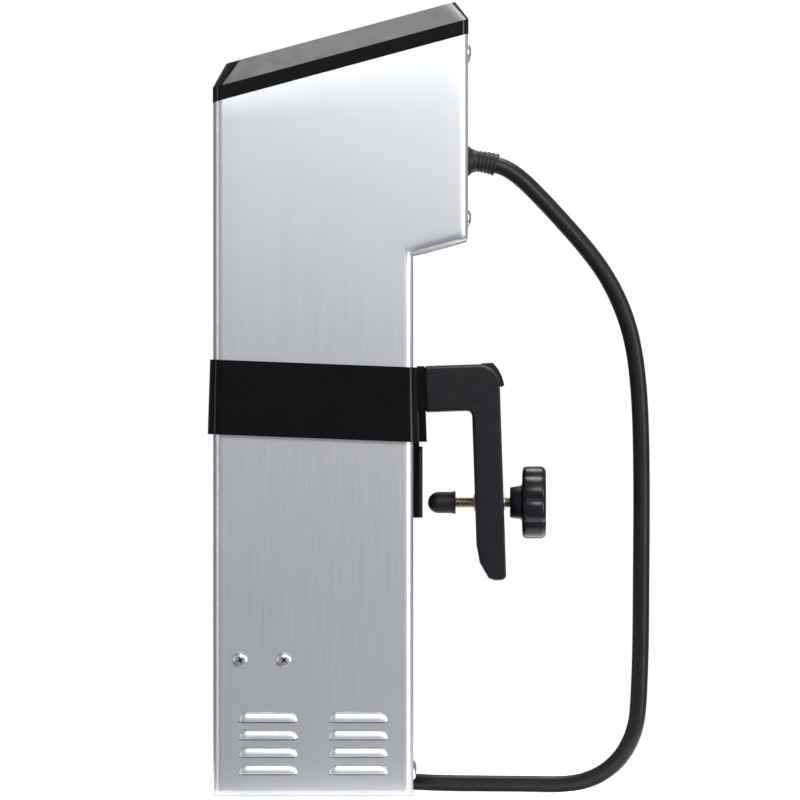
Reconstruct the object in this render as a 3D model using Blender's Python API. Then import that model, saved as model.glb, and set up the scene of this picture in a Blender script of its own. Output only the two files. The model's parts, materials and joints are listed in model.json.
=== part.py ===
"""Sous vide circulator: a steel case with a pump and a heater, held on a pot's rim by a screw clamp.

Metres, +Z up. The origin is the centre of the flat base under the lower case. The front faces -X,
the clamp and the cord are on the back, +X, and the case is symmetric about the XZ plane.
"""
import math

import bmesh
import bpy
import numpy as np
from mathutils import Matrix, Vector

# ---------------------------------------------------------------- general fits
GAP = 0.0003            # left between two pieces that touch
PAST = 0.001            # how far a hole's cutter runs past the piece
SHEET = 0.001           # steel sheet of the case and its covers
SCREW_RADIUS = 0.0015   # M3 shank
SCREW_HOLE = SCREW_RADIUS + GAP
HEAD_RADIUS = 0.0038
HEAD_HEIGHT = 0.0022

# ---------------------------------------------------------------- case
CASE_DEPTH = 0.0934     # lower body, front to back
CASE_WIDTH = 0.100
HEAD_OVERHANG = 0.0261  # the head stands back from the lower body by this
NECK_HEIGHT = 0.259     # where the head's underside leaves the lower back
FRONT_HEIGHT = 0.3314   # lower edge of the cap at the front face
HEAD_SLOPE = math.tan(math.radians(15.1))
BEND = 0.0035           # outer radius of the folded edges
BEND_STEPS = 4
BACK_FLANGE = 0.010     # folded strips that the back cover is screwed to
CASE_LAP = 0.0035       # the case goes this far up inside the cap
LOUVRE_LENGTH = 0.027
LOUVRE_SLIT = 0.0016
LOUVRE_PITCH = 0.00833
LOUVRE_ROWS = 4
LOUVRE_FIRST = 0.0107   # centre height of the lowest slit
LOUVRE_INSET = 0.0252   # from the case's front and back to the columns' centres
SIDE_SCREW_INSET = (0.0119, 0.0327)
SIDE_SCREW_Z = 0.065
SCREW_LENGTH = 0.006
BACK_SCREW_INSET = 0.0065
BACK_SCREW_BELOW_CAP = 0.0083
BACK_SCREW_ABOVE_EDGE = 0.0102
BACK_SCREW_LOW = 0.0115
BASE_THICKNESS = 0.0015
INLET_HOLES = 8
INLET_RADIUS = 0.0075
INLET_HOLE_RADIUS = 0.002

# ---------------------------------------------------------------- cap and its panel
CAP_WALL = 0.001
SKIRT_HEIGHT = 0.007
CAP_HEIGHT = 0.017
CAP_END_INSET = 0.005   # top panel's front and back edges, in from the case
CAP_SIDE_INSET = 0.008
CAP_TOP_CORNER = 0.0073
CAP_ROOF = 0.0025
CAP_STEP = 0.005        # height of the ledge that presses the gasket
CAP_LEDGE = 0.0015
GASKET_WIDTH = 0.002
LENS_SIZE = (0.038, 0.062)
LENS_THICKNESS = 0.0013
LENS_LIP = 0.004
LENS_SHIFT = 0.018      # lens centre, up the panel from its middle
KEY_SIZE = (0.009, 0.014)
KEY_SHIFT = -0.028
KEY_SPACING = 0.0185
KEY_RIM = 0.0015
KEY_RIM_THICKNESS = 0.001
KEY_HEIGHT = 0.005
KEY_TRAVEL = 0.0008
KEY_NAMES = ("key_power", "key_set", "key_up", "key_down")
BOARD = 0.0016
DISPLAY_BOARD_SIZE = (0.072, 0.064)

# ---------------------------------------------------------------- collar and clamp
COLLAR_HEIGHT = 0.0357
COLLAR_Z = 0.1887
COLLAR_LEAN = math.tan(math.radians(2.23))   # the edges fall towards the back
COLLAR_CLEARANCE = 0.00035
COLLAR_WALL = 0.0023
COLLAR_DRAFT = 0.00115  # the band is this much thicker at its lower edge
COLLAR_SHIFT = 0.0001
TONGUE_THICKNESS = 0.0032
TONGUE_WIDTH = 0.030
TONGUE_DROP = 0.056     # from the collar's middle to the tongue's end
JAW_PAD_THICKNESS = 0.0013
JAW_PAD_DROP = 0.0219
JAW_OPENING = 0.00255   # between the pad and the tip at rest
ARM_LEAN = math.radians(-1.9)
ARM_WIDTH = 0.030
ARM_TOP = 0.0166        # above the collar's middle, in the arm's own frame
ARM_UNDERSIDE = -0.00575
ARM_BOTTOM = -0.0873
LEG_INNER = 0.0252
LEG_OUTER = 0.0389
LEG_TAPER_START = -0.0700
LEG_TOE = 0.0052        # the leg's lower end is this much narrower
TOE_CORNER = 0.0025
ARM_CORNER = 0.0096
ARM_INNER_CORNER = 0.0026
ARM_EDGE = 0.0016
PLATE_THICKNESS = 0.0024
PLATE_WIDTH = 0.044
PLATE_BOTTOM = -0.0197
LUG_WIDTH = 0.010
ARM_SCREW_Y = 0.008
ARM_SCREW_RISE = 0.0068  # above the collar's middle
ARM_SCREW_HEAD = 0.0012
ARM_SCREW_HEAD_RADIUS = 0.0032
ARM_SCREW_LENGTH = 0.013
CLAMP_SCREW_DROP = 0.0488
CLAMP_SCREW_RADIUS = 0.0025
TIP_LENGTH = 0.0133
TIP_RADIUS = 0.0051
TIP_BORE_DEPTH = 0.0085
KNOB_CLEARANCE = 0.0025 # between the knob's hub and the thread at rest
HUB_LENGTH = 0.006
KNOB_LENGTH = 0.0172
KNOB_RADIUS = 0.0175
KNOB_VALLEY = 0.0160
KNOB_LOBES = 8
KNOB_PHASE = math.radians(8.0)
HUB_RADII = (0.0073, 0.00825)
KNOB_BORE_DEPTH = 0.0105
INSERT_RADIUS = 0.0040
INSERT_FLANGE = 0.0006

# ---------------------------------------------------------------- pump, heater and electrics
SHAFT_INSET = 0.0347     # from the case's back
SHAFT_RADIUS = 0.003
SHAFT_BOTTOM = 0.0123
SHAFT_TOP = 0.276
BORE_RADIUS = SHAFT_RADIUS + GAP
BULKHEAD_Z = 0.178
BULKHEAD_THICKNESS = 0.003
MOTOR_BRACKET_Z = 0.195
MOTOR_BRACKET_THICKNESS = 0.003
VENT_Y = 0.034
VENT_RADIUS = 0.009
MOTOR_RADIUS = 0.020
MOTOR_LENGTH = 0.060
BEARING_RADIUS = 0.008
BEARING_THICKNESS = 0.005
SEAL_RADIUS = 0.007
PUMP_BRACKET_Z = 0.057
PUMP_BRACKET_HEIGHT = 0.016
PUMP_BRACKET_SHEET = 0.0012
PUMP_BRACKET_INSET = (0.0047, 0.0107)
IMPELLER_Z = (0.0095, 0.021)
IMPELLER_HUB = 0.0055
IMPELLER_RADIUS = 0.014
IMPELLER_BLADES = 6
PUMP_HOUSING_RADII = (0.0168, 0.0184)
PUMP_HOUSING_TOP = 0.028
PUMP_OUTLET = 0.012
PUMP_OUTLET_Z = (0.008, 0.018)
FAN_Z = (0.264, 0.272)
FAN_HUB = 0.007
FAN_RADIUS = 0.018
FAN_BLADES = 7
FAN_LEAN = math.radians(28)
BLADE = 0.0012
BLADE_INSET = 0.001
HEATER_RADIUS = 0.0035
HEATER_COIL_RADIUS = 0.024
HEATER_RETURN_RADIUS = 0.033
HEATER_PITCH = 0.009
HEATER_TOP = 0.192
HEATER_COIL_TOP = 0.041
HEATER_TURNS = 2 + 320 / 360
HEATER_START = math.radians(200)
NUT_RADIUS = 0.006
NUT_HEIGHT = 0.0045
PROBE_INSET = 0.0147     # from the case's front
PROBE_Y = 0.026
PROBE_RADIUS = 0.0025
PROBE_BOTTOM = 0.030
PROBE_TOP = 0.196
MAIN_BOARD_LENGTH = 0.080
MAIN_BOARD_HEIGHT = 0.056
MAIN_BOARD_INSET = (0.0167, 0.011, 0.010)   # from the front, from the neck's level, from the side
SINK_LENGTH = 0.036
SINK_HEIGHT = 0.030
SINK_ON_BOARD = (0.034, 0.010)              # from the board's front lower corner
SINK_DEPTH = 0.012
SINK_BASE = 0.003
SINK_FINS = 6
TERMINAL_SIZE = (0.020, 0.014)
TERMINAL_ON_BOARD = (0.006, 0.013)
TERMINAL_DEPTH = 0.010

# ---------------------------------------------------------------- cord
CORD_RADIUS = 0.004
CORD_SPACING = 0.016
RELIEF_Z = 0.3038
RELIEF_BEND = 0.0022    # the sleeve bends from here on, behind the case's back
RELIEF_FALL = 24.07     # one over the radius of the sleeve's bend
RELIEF_FLANGE = 0.0074
RELIEF_NECK = 0.0055
RELIEF_INNER = 0.004    # length of the flange inside the cover
RELIEF_SLEEVE = ((0.0020, 0.0069), (0.0034, 0.0057), (0.0048, 0.0051), (0.0072, 0.0051), (0.0094, 0.0052),
                 (0.0122, 0.0053), (0.0149, 0.0054))   # distance behind the case's back, radius
CORD_ROUTE = (           # x is from the case's back at the head, y grows with the case's width
    (0.0161, 0.0000, 0.3015), (0.0190, 0.0000, 0.3004), (0.0225, 0.0000, 0.2984), (0.0270, 0.0000, 0.2950),
    (0.0320, 0.0000, 0.2903), (0.0392, 0.0000, 0.2829), (0.0468, 0.0000, 0.2746), (0.0545, 0.0000, 0.2659),
    (0.0617, 0.0003, 0.2570), (0.0684, 0.0008, 0.2470), (0.0742, 0.0015, 0.2355), (0.0789, 0.0024, 0.2220),
    (0.0821, 0.0033, 0.2050), (0.0838, 0.0042, 0.1850), (0.0845, 0.0050, 0.1600), (0.0846, 0.0057, 0.1300),
    (0.0844, 0.0063, 0.1000), (0.0841, 0.0070, 0.0700), (0.0833, 0.0078, 0.0470), (0.0813, 0.0087, 0.0310),
    (0.0749, 0.0115, 0.0180), (0.0654, 0.0155, 0.0094), (0.0564, 0.0193, 0.0057), (0.0466, 0.0234, 0.0043),
    (0.0332, 0.0291, 0.0042), (0.0182, 0.0354, 0.0042), (0.0042, 0.0414, 0.0042), (-0.0083, 0.0473, 0.0042),
    (-0.0193, 0.0540, 0.0044), (-0.0274, 0.0620, 0.0047), (-0.0319, 0.0687, 0.0050))
CORD_END_ASIDE = 0.0187  # the route's end, outward from the case's side
HANK_AHEAD = 0.0608     # from the case's back at the head forward to the hank's middle
HANK_NEAR = 0.036       # centres of the hank's two round ends, outward from the case's side
HANK_FAR = 0.110
HANK_FOLD = 0.024
HANK_BOTTOM = 0.0016
HANK_TOP = 0.0360
TIE_THICKNESS = 0.0012
TIE_WIDTH = 0.012
TAIL_ROUTE = (           # x as above, y outward from the case's side
    (-0.0622, 0.1425, 0.0275), (-0.0728, 0.1434, 0.0252), (-0.0818, 0.1415, 0.0219), (-0.0908, 0.1363, 0.0182),
    (-0.0983, 0.1282, 0.0146), (-0.1026, 0.1190, 0.0119), (-0.1043, 0.1080, 0.0104), (-0.1046, 0.0970, 0.0103),
    (-0.1046, 0.0860, 0.0113), (-0.1046, 0.0760, 0.0120))
PLUG_AHEAD = 0.1046
PLUG_Z = 0.0122
PLUG_FRONT = 0.0313     # these three outward from the case's side
PLUG_BACK = 0.0593
PLUG_BOOT_END = 0.0757
PLUG_SIZE = (0.025, 0.024)
PIN_LINE = 0.0119       # from the blades' line to the ground pin
BLADE_SPACING = 0.0127
PLUG_BLADE = (0.0015, 0.0063, 0.016)
GROUND_PIN_RADIUS = 0.0024
GROUND_PIN_LENGTH = 0.019

# ---------------------------------------------------------------- worked out from the above
FRONT_X = -CASE_DEPTH / 2
BACK_X = CASE_DEPTH / 2
HEAD_X = BACK_X + HEAD_OVERHANG
HALF_WIDTH = CASE_WIDTH / 2
HANK_X = HEAD_X - HANK_AHEAD
HANK_Y = (HALF_WIDTH + HANK_NEAR, HALF_WIDTH + HANK_FAR)
PLUG_X = HEAD_X - PLUG_AHEAD
PLUG_Y = tuple(HALF_WIDTH + aside for aside in (PLUG_FRONT, PLUG_BACK, PLUG_BOOT_END))
CORD_SPREAD = (HALF_WIDTH + CORD_END_ASIDE) / CORD_ROUTE[-1][1]
INNER_BACK_X = BACK_X - 2 * (SHEET + GAP)
SIDE_SCREW_X = tuple(FRONT_X + inset for inset in SIDE_SCREW_INSET)
SHAFT_X = BACK_X - SHAFT_INSET
PROBE_X = FRONT_X + PROBE_INSET
TONGUE_X = COLLAR_SHIFT + BACK_X + COLLAR_CLEARANCE + GAP
PAD_X = TONGUE_X + TONGUE_THICKNESS + GAP
TIP_FRONT = PAD_X + JAW_PAD_THICKNESS + JAW_OPENING
CLAMP_SCREW_Z = COLLAR_Z - CLAMP_SCREW_DROP
ARM_SCREW_Z = COLLAR_Z + ARM_SCREW_RISE
UP = Vector((0, 0, 1))
BACKWARD = Vector((1, 0, 0))
SIDEWAYS = Vector((0, 1, 0))


def cap_z(x, height):
    """Height above the base of a level that lies this far above the cap's lower edge."""
    return FRONT_HEIGHT + (x - FRONT_X) * HEAD_SLOPE + height


def underside_z(x):
    """Height of the head's slanting underside."""
    return NECK_HEIGHT + (x - BACK_X) * HEAD_SLOPE


# ---------------------------------------------------------------- materials
def finish(name, colour, roughness, metallic=0.0):
    material = bpy.data.materials.new(name)
    material.use_nodes = True
    shader = material.node_tree.nodes["Principled BSDF"]
    shader.inputs["Base Color"].default_value = (*colour, 1.0)
    shader.inputs["Roughness"].default_value = roughness
    shader.inputs["Metallic"].default_value = metallic
    return material


def all_finishes():
    return {
        "case_steel": finish("case_steel", (0.66, 0.67, 0.69), 0.32, 1.0),
        "bright_steel": finish("bright_steel", (0.62, 0.61, 0.59), 0.22, 1.0),
        "heater_steel": finish("heater_steel", (0.50, 0.50, 0.50), 0.35, 1.0),
        "gloss_black": finish("gloss_black", (0.006, 0.006, 0.007), 0.08),
        "satin_black": finish("satin_black", (0.014, 0.015, 0.019), 0.32),
        "rubber_black": finish("rubber_black", (0.018, 0.018, 0.021), 0.62),
        "lens_dark": finish("lens_dark", (0.004, 0.005, 0.007), 0.04),
        "key_grey": finish("key_grey", (0.05, 0.05, 0.055), 0.35),
        "board_green": finish("board_green", (0.02, 0.12, 0.05), 0.45),
        "aluminium": finish("aluminium", (0.72, 0.72, 0.73), 0.40, 1.0),
        "inner_plastic": finish("inner_plastic", (0.55, 0.54, 0.50), 0.45),
        "brass": finish("brass", (0.72, 0.52, 0.22), 0.25, 1.0),
    }


# ---------------------------------------------------------------- solids
def loft(rings, ends="caps"):
    """Skin over rings of equally many points; 'caps' closes both ends, 'loop' joins last to first."""
    body = bmesh.new()
    rows = [[body.verts.new(point) for point in ring] for ring in rings]
    pairs = list(zip(rows, rows[1:]))
    if ends == "loop":
        pairs.append((rows[-1], rows[0]))
    else:
        body.faces.new(rows[0])
        body.faces.new(rows[-1])
    for low, high in pairs:
        for here in range(len(low)):
            after = (here + 1) % len(low)
            body.faces.new((low[here], low[after], high[after], high[here]))
    bmesh.ops.recalc_face_normals(body, faces=body.faces)
    return body


def turned(profile, base, direction, steps=24, ends="caps"):
    """Turn a profile of (distance along, radius) about an axis."""
    side = direction.orthogonal().normalized()
    other = direction.cross(side)
    base = Vector(base)
    rings = []
    for along, radius in profile:
        centre = base + direction * along
        angles = [2 * math.pi * step / steps for step in range(steps)]
        rings.append([centre + (side * math.cos(a) + other * math.sin(a)) * radius for a in angles])
    return loft(rings, ends)


def washer(inner, outer, low, high, centre, steps=32):
    """A flat ring with a vertical axis."""
    profile = ((low, inner), (high, inner), (high, outer), (low, outer))
    return turned(profile, (*centre, 0), UP, steps, ends="loop")


def prism(outline, plane, low, high):
    """Extrude an outline along the axis that its plane leaves out."""
    across = "XYZ".index(({*"XYZ"} - {*plane}).pop())
    return loft([[(*point[:across], level, *point[across:]) for point in outline] for level in (low, high)])


def box(x_range, y_range, z_range):
    outline = [(x_range[i], y_range[j]) for i, j in ((0, 0), (1, 0), (1, 1), (0, 1))]
    return prism(outline, "XY", *z_range)


def rounded_outline(x_low, x_high, y_low, y_high, radius, steps=BEND_STEPS):
    """Rounded rectangle, anticlockwise from its high corner."""
    centres = ((x_high - radius, y_high - radius), (x_low + radius, y_high - radius),
               (x_low + radius, y_low + radius), (x_high - radius, y_low + radius))
    points = []
    for corner, (x, y) in enumerate(centres):
        for step in range(steps + 1):
            angle = math.pi / 2 * (corner + step / steps)
            points.append((x + radius * math.cos(angle), y + radius * math.sin(angle)))
    return points


def arc(centre, radius, start, end, steps=6):
    """Points on an arc, angles in degrees."""
    angles = [math.radians(start + (end - start) * step / steps) for step in range(steps + 1)]
    return [(centre[0] + radius * math.cos(a), centre[1] + radius * math.sin(a)) for a in angles]


def offset_path(path, distance):
    """Polyline moved to the left of its direction by a distance, with mitred corners."""
    points = [Vector(point) for point in path]
    normals = []
    for here, after in zip(points, points[1:]):
        along = (after - here).normalized()
        normals.append(Vector((-along.y, along.x)))
    moved = [points[0] + normals[0] * distance]
    for point, before, after in zip(points[1:], normals, normals[1:]):
        moved.append(point + (before + after) * (distance / (1 + before.dot(after))))
    moved.append(points[-1] + normals[-1] * distance)
    return [tuple(point) for point in moved]


def together(pieces):
    """Several separate solids in one mesh."""
    whole = bmesh.new()
    for piece in pieces:
        mesh = bpy.data.meshes.new("shape")
        piece.to_mesh(mesh)
        piece.free()
        whole.from_mesh(mesh)
        bpy.data.meshes.remove(mesh)
    return whole


def smooth_through(points, spacing):
    """Natural cubic curve through the points, by distance along them, read at even steps."""
    knots = np.array(points)
    at = np.concatenate(([0.0], np.cumsum(np.linalg.norm(np.diff(knots, axis=0), axis=1))))
    span = np.diff(at)
    last = len(at) - 1
    system = np.eye(last + 1)
    right = np.zeros((last + 1, 3))
    for i in range(1, last):
        system[i, i - 1:i + 2] = span[i - 1], 2 * (span[i - 1] + span[i]), span[i]
        right[i] = 6 * ((knots[i + 1] - knots[i]) / span[i] - (knots[i] - knots[i - 1]) / span[i - 1])
    bend = np.linalg.solve(system, right)
    fine = np.linspace(0.0, at[-1], 40 * last)
    piece = np.clip(np.searchsorted(at, fine, side="right") - 1, 0, last - 1)
    width = span[piece][:, None]
    before = (at[piece + 1] - fine)[:, None] / width
    after = 1 - before
    curve = before * knots[piece] + after * knots[piece + 1]
    curve += ((before ** 3 - before) * bend[piece] + (after ** 3 - after) * bend[piece + 1]) * width ** 2 / 6
    walked = np.concatenate(([0.0], np.cumsum(np.linalg.norm(np.diff(curve, axis=0), axis=1))))
    stops = np.linspace(0.0, walked[-1], round(walked[-1] / spacing) + 1)
    return np.column_stack([np.interp(stops, walked, curve[:, axis]) for axis in range(3)])


# ---------------------------------------------------------------- objects
def add_object(name, body, material, parent=None):
    """Make an object of a solid given in world positions, with its origin at its parent's place."""
    origin = Vector(parent.location) if parent else Vector((0, 0, 0))
    bmesh.ops.translate(body, vec=-origin, verts=body.verts)
    mesh = bpy.data.meshes.new(name)
    body.to_mesh(mesh)
    body.free()
    mesh.materials.append(material)
    mesh.shade_smooth()
    mesh.set_sharp_from_angle(angle=math.radians(35))
    item = bpy.data.objects.new(name, mesh)
    bpy.context.collection.objects.link(item)
    if parent:
        item.parent = parent
    return item


def add_axis(name, location):
    """Empty on a joint's axis, which the pieces that move about it hang from."""
    axis = bpy.data.objects.new(name, None)
    axis.location = location
    axis.empty_display_size = 0.01
    bpy.context.collection.objects.link(axis)
    return axis


def combine(item, body, operation, label):
    """Boolean modifier on an item with a hidden second solid."""
    mesh = bpy.data.meshes.new(f"{item.name}_{label}")
    body.to_mesh(mesh)
    body.free()
    tool = bpy.data.objects.new(mesh.name, mesh)
    tool.hide_render = True
    tool.display_type = "WIRE"
    bpy.context.collection.objects.link(tool)
    modifier = item.modifiers.new(label, "BOOLEAN")
    modifier.operation = operation
    modifier.solver = "EXACT"
    modifier.object = tool
    if item.parent:
        tool.parent = item.parent
        tool.data.transform(Matrix.Translation(-Vector(item.parent.location)))


def cut(item, bodies, label="cuts"):
    combine(item, together(bodies), "DIFFERENCE", label)


def add_cord(name, points, radius, material, resolution=2):
    curve = bpy.data.curves.new(name, "CURVE")
    curve.dimensions = "3D"
    curve.bevel_depth = radius
    curve.bevel_resolution = resolution
    curve.use_fill_caps = True
    spline = curve.splines.new("POLY")
    spline.points.add(len(points) - 1)
    for place, point in zip(spline.points, points):
        place.co = (*point, 1.0)
    curve.materials.append(material)
    item = bpy.data.objects.new(name, curve)
    bpy.context.collection.objects.link(item)
    return item


def pan_screw(name, seat, outward, material, length=SCREW_LENGTH, parent=None):
    """Dome-headed screw whose head rests on a face; seat is the face's point, outward its normal."""
    head = [(HEAD_HEIGHT * math.sin(t), HEAD_RADIUS * math.cos(t)) for t in np.radians((0, 25, 48, 68, 84))]
    profile = [(-length, SCREW_RADIUS), (0, SCREW_RADIUS), (0, HEAD_RADIUS)]
    profile += [(max(along, 0.0004), radius) for along, radius in head]
    base = Vector(seat) + outward * GAP
    return add_object(name, turned(profile, base, outward, 16), material, parent)


def rod_through(x, y, radius, low, high, steps=20):
    """A vertical cylinder, for a rod or for the hole it passes through."""
    return turned(((low, radius), (high, radius)), (x, y, 0), UP, steps)


# ---------------------------------------------------------------- case
def make_case(steel):
    """Folded shell: front, two sides and the two back flanges."""
    ridge = ((FRONT_X, GAP), (BACK_X, GAP), (BACK_X, underside_z(BACK_X)), (HEAD_X, underside_z(HEAD_X)),
             (HEAD_X, cap_z(HEAD_X, CASE_LAP)), (FRONT_X, cap_z(FRONT_X, CASE_LAP)))
    stations = (-HALF_WIDTH, BACK_FLANGE - HALF_WIDTH, HALF_WIDTH - BACK_FLANGE, HALF_WIDTH)
    body = bmesh.new()
    grid = [[body.verts.new((x, y, z)) for y in stations] for x, z in ridge]
    for side, strips in ((1, (0, 2)), (2, (0, 2)), (3, (0, 2)), (5, (0, 1, 2))):
        here, after = grid[side], grid[(side + 1) % len(grid)]
        for strip in strips:
            body.faces.new((here[strip], here[strip + 1], after[strip + 1], after[strip]))
    body.faces.new([row[0] for row in grid])
    body.faces.new([row[-1] for row in reversed(grid)])
    bmesh.ops.recalc_face_normals(body, faces=body.faces)
    folds = [e for e in body.edges if len(e.link_faces) == 2
             and all(math.isclose(abs(v.co.y), HALF_WIDTH, abs_tol=1e-6) for v in e.verts)]
    bmesh.ops.bevel(body, geom=folds, offset=BEND, segments=BEND_STEPS, profile=0.5, affect="EDGES")
    case = add_object("main_case", body, steel)
    wall = case.modifiers.new("wall", "SOLIDIFY")
    wall.thickness = SHEET
    wall.offset = -1
    wall.use_even_offset = True
    reach = (-HALF_WIDTH - PAST, HALF_WIDTH + PAST)
    slits = []
    for column in (FRONT_X + LOUVRE_INSET, BACK_X - LOUVRE_INSET):
        for row in range(LOUVRE_ROWS):
            level = LOUVRE_FIRST + row * LOUVRE_PITCH
            slits.append(box((column - LOUVRE_LENGTH / 2, column + LOUVRE_LENGTH / 2), reach,
                             (level - LOUVRE_SLIT / 2, level + LOUVRE_SLIT / 2)))
    cut(case, slits, "slits")
    cut(case, side_screw_holes() + [back_hole(seat) for seat in back_screw_seats()], "screw_holes")


def side_screw_holes():
    ends = ((-HALF_WIDTH - PAST, SCREW_HOLE), (HALF_WIDTH + PAST, SCREW_HOLE))
    return [turned(ends, (x, 0, SIDE_SCREW_Z), SIDEWAYS, 12) for x in SIDE_SCREW_X]


def back_screw_seats():
    """Points on the back flanges where the cover's screws sit."""
    rows = ((HEAD_X, cap_z(HEAD_X, 0) - BACK_SCREW_BELOW_CAP),
            (HEAD_X, underside_z(HEAD_X) + BACK_SCREW_ABOVE_EDGE), (BACK_X, BACK_SCREW_LOW))
    return [(x, side * (HALF_WIDTH - BACK_SCREW_INSET), z) for x, z in rows for side in (-1, 1)]


def back_hole(seat):
    return turned(((-0.004, SCREW_HOLE), (0.002, SCREW_HOLE)), seat, BACKWARD, 12)


def make_back_cover(steel):
    """Folded sheet behind the flanges, from the base plate up into the cap."""
    top = cap_z(HEAD_X - 2 * (SHEET + GAP), CASE_LAP)
    outer = offset_path(((BACK_X, BASE_THICKNESS + GAP), (BACK_X, underside_z(BACK_X)),
                         (HEAD_X, underside_z(HEAD_X)), (HEAD_X, top)), SHEET + GAP)
    inner = offset_path(outer, SHEET)
    half = HALF_WIDTH - BEND - GAP
    cover = add_object("back_cover", prism(outer + inner[::-1], "XZ", -half, half), steel)
    hole = RELIEF_NECK + GAP
    relief_hole = turned(((-0.006, hole), (0.002, hole)), (HEAD_X, 0, RELIEF_Z), BACKWARD)
    cut(cover, [back_hole(seat) for seat in back_screw_seats()] + [relief_hole])


def inner_outline():
    """Outline of a plate that fits inside the lower case."""
    clear = SHEET + GAP
    return rounded_outline(FRONT_X + clear, INNER_BACK_X, clear - HALF_WIDTH, HALF_WIDTH - clear, BEND)


def make_base_plate(steel):
    plate = add_object("bottom_plate", prism(inner_outline(), "XY", 0, BASE_THICKNESS), steel)
    inlets = []
    for hole in range(INLET_HOLES):
        angle = 2 * math.pi * (hole + 0.5) / INLET_HOLES
        x, y = SHAFT_X + INLET_RADIUS * math.cos(angle), INLET_RADIUS * math.sin(angle)
        inlets.append(rod_through(x, y, INLET_HOLE_RADIUS, -PAST, BASE_THICKNESS + PAST, 12))
    cut(plate, inlets, "inlets")


def make_case_screws(steel):
    for number, seat in enumerate(back_screw_seats(), 1):
        pan_screw(f"back_screw_{number}", seat, BACKWARD, steel)
    number = 0
    for side in (-1, 1):
        for x in SIDE_SCREW_X:
            number += 1
            pan_screw(f"side_screw_{number}", (x, side * HALF_WIDTH, SIDE_SCREW_Z), SIDEWAYS * side, steel)


# ---------------------------------------------------------------- cap
def cap_ring(end_offset, side_offset, corner, height):
    """Rounded rectangle about the head, raised along the cap's slope."""
    outline = rounded_outline(FRONT_X - end_offset, HEAD_X + end_offset,
                              -HALF_WIDTH - side_offset, HALF_WIDTH + side_offset, corner)
    return [(x, y, cap_z(x, height)) for x, y in outline]


def panel_place(along, across, depth):
    """World point of a place on the top panel: up its slope, across it, and below its face."""
    middle = (FRONT_X + HEAD_X) / 2
    angle = math.atan(HEAD_SLOPE)
    up_slope = Vector((math.cos(angle), 0, math.sin(angle)))
    normal = Vector((-math.sin(angle), 0, math.cos(angle)))
    return Vector((middle, across, cap_z(middle, CAP_HEIGHT))) + up_slope * along - normal * depth


def panel_block(centre, size, corner, top, bottom):
    """Rounded block lying along the panel; centre and size are (along, across)."""
    outline = rounded_outline(centre[0] - size[0] / 2, centre[0] + size[0] / 2,
                              centre[1] - size[1] / 2, centre[1] + size[1] / 2, corner, 3)
    return loft([[panel_place(a, b, depth) for a, b in outline] for depth in (bottom, top)])


def grown(size, by):
    return tuple(value + 2 * by for value in size)


def key_centres():
    return [(KEY_SHIFT, KEY_SPACING * (place - 1.5)) for place in range(len(KEY_NAMES))]


def make_cap(gloss, rubber, lens_finish, key_finish):
    outer_offset = GAP + CAP_WALL
    step_inset = -CAP_LEDGE
    rings = [cap_ring(outer_offset, outer_offset, BEND + outer_offset, 0),
             cap_ring(outer_offset, outer_offset, BEND + outer_offset, SKIRT_HEIGHT),
             cap_ring(-CAP_END_INSET, -CAP_SIDE_INSET, CAP_TOP_CORNER, CAP_HEIGHT),
             cap_ring(-CAP_END_INSET - CAP_ROOF, -CAP_SIDE_INSET - CAP_ROOF, CAP_TOP_CORNER - CAP_ROOF,
                      CAP_HEIGHT - CAP_ROOF),
             cap_ring(step_inset, step_inset, BEND + step_inset, CAP_STEP),
             cap_ring(GAP, GAP, BEND + GAP, CAP_STEP),
             cap_ring(GAP, GAP, BEND + GAP, 0)]
    # the ring order runs up outside, across the roof's two faces, and down inside
    cap = add_object("top_cap", hollow_cap(rings), gloss)
    lens_centre = (LENS_SHIFT, 0)
    pocket = panel_block(lens_centre, grown(LENS_SIZE, GAP), 0.003 + GAP, -PAST, LENS_THICKNESS + GAP)
    window = panel_block(lens_centre, grown(LENS_SIZE, -LENS_LIP), 0.002, -0.002, 2 * CAP_ROOF)
    cut(cap, [pocket], "lens_pocket")
    cut(cap, [window] + [panel_block(c, grown(KEY_SIZE, GAP), 0.002 + GAP, -0.002, 2 * CAP_ROOF)
                         for c in key_centres()], "openings")
    gasket_low, gasket_high = CASE_LAP + GAP + SHEET * HEAD_SLOPE, CAP_STEP - GAP
    inside = BEND - GASKET_WIDTH
    gasket = [cap_ring(0, 0, BEND, gasket_low), cap_ring(0, 0, BEND, gasket_high),
              cap_ring(-GASKET_WIDTH, -GASKET_WIDTH, inside, gasket_high),
              cap_ring(-GASKET_WIDTH, -GASKET_WIDTH, inside, gasket_low)]
    add_object("cap_gasket", loft(gasket, "loop"), rubber)
    add_object("display_lens", panel_block(lens_centre, LENS_SIZE, 0.003, 0, LENS_THICKNESS), lens_finish)
    roof = CAP_ROOF * math.cos(math.atan(HEAD_SLOPE))
    for name, centre in zip(KEY_NAMES, key_centres()):
        axis = add_axis(f"{name}_axis", panel_place(*centre, 0))
        key = add_object(name, panel_block(centre, KEY_SIZE, 0.002, 0, KEY_HEIGHT), key_finish, axis)
        rim = panel_block(centre, grown(KEY_SIZE, KEY_RIM), 0.003, roof + GAP, roof + GAP + KEY_RIM_THICKNESS)
        combine(key, rim, "UNION", "rim")
    board_top = KEY_HEIGHT + KEY_TRAVEL + GAP
    return board_top


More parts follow.
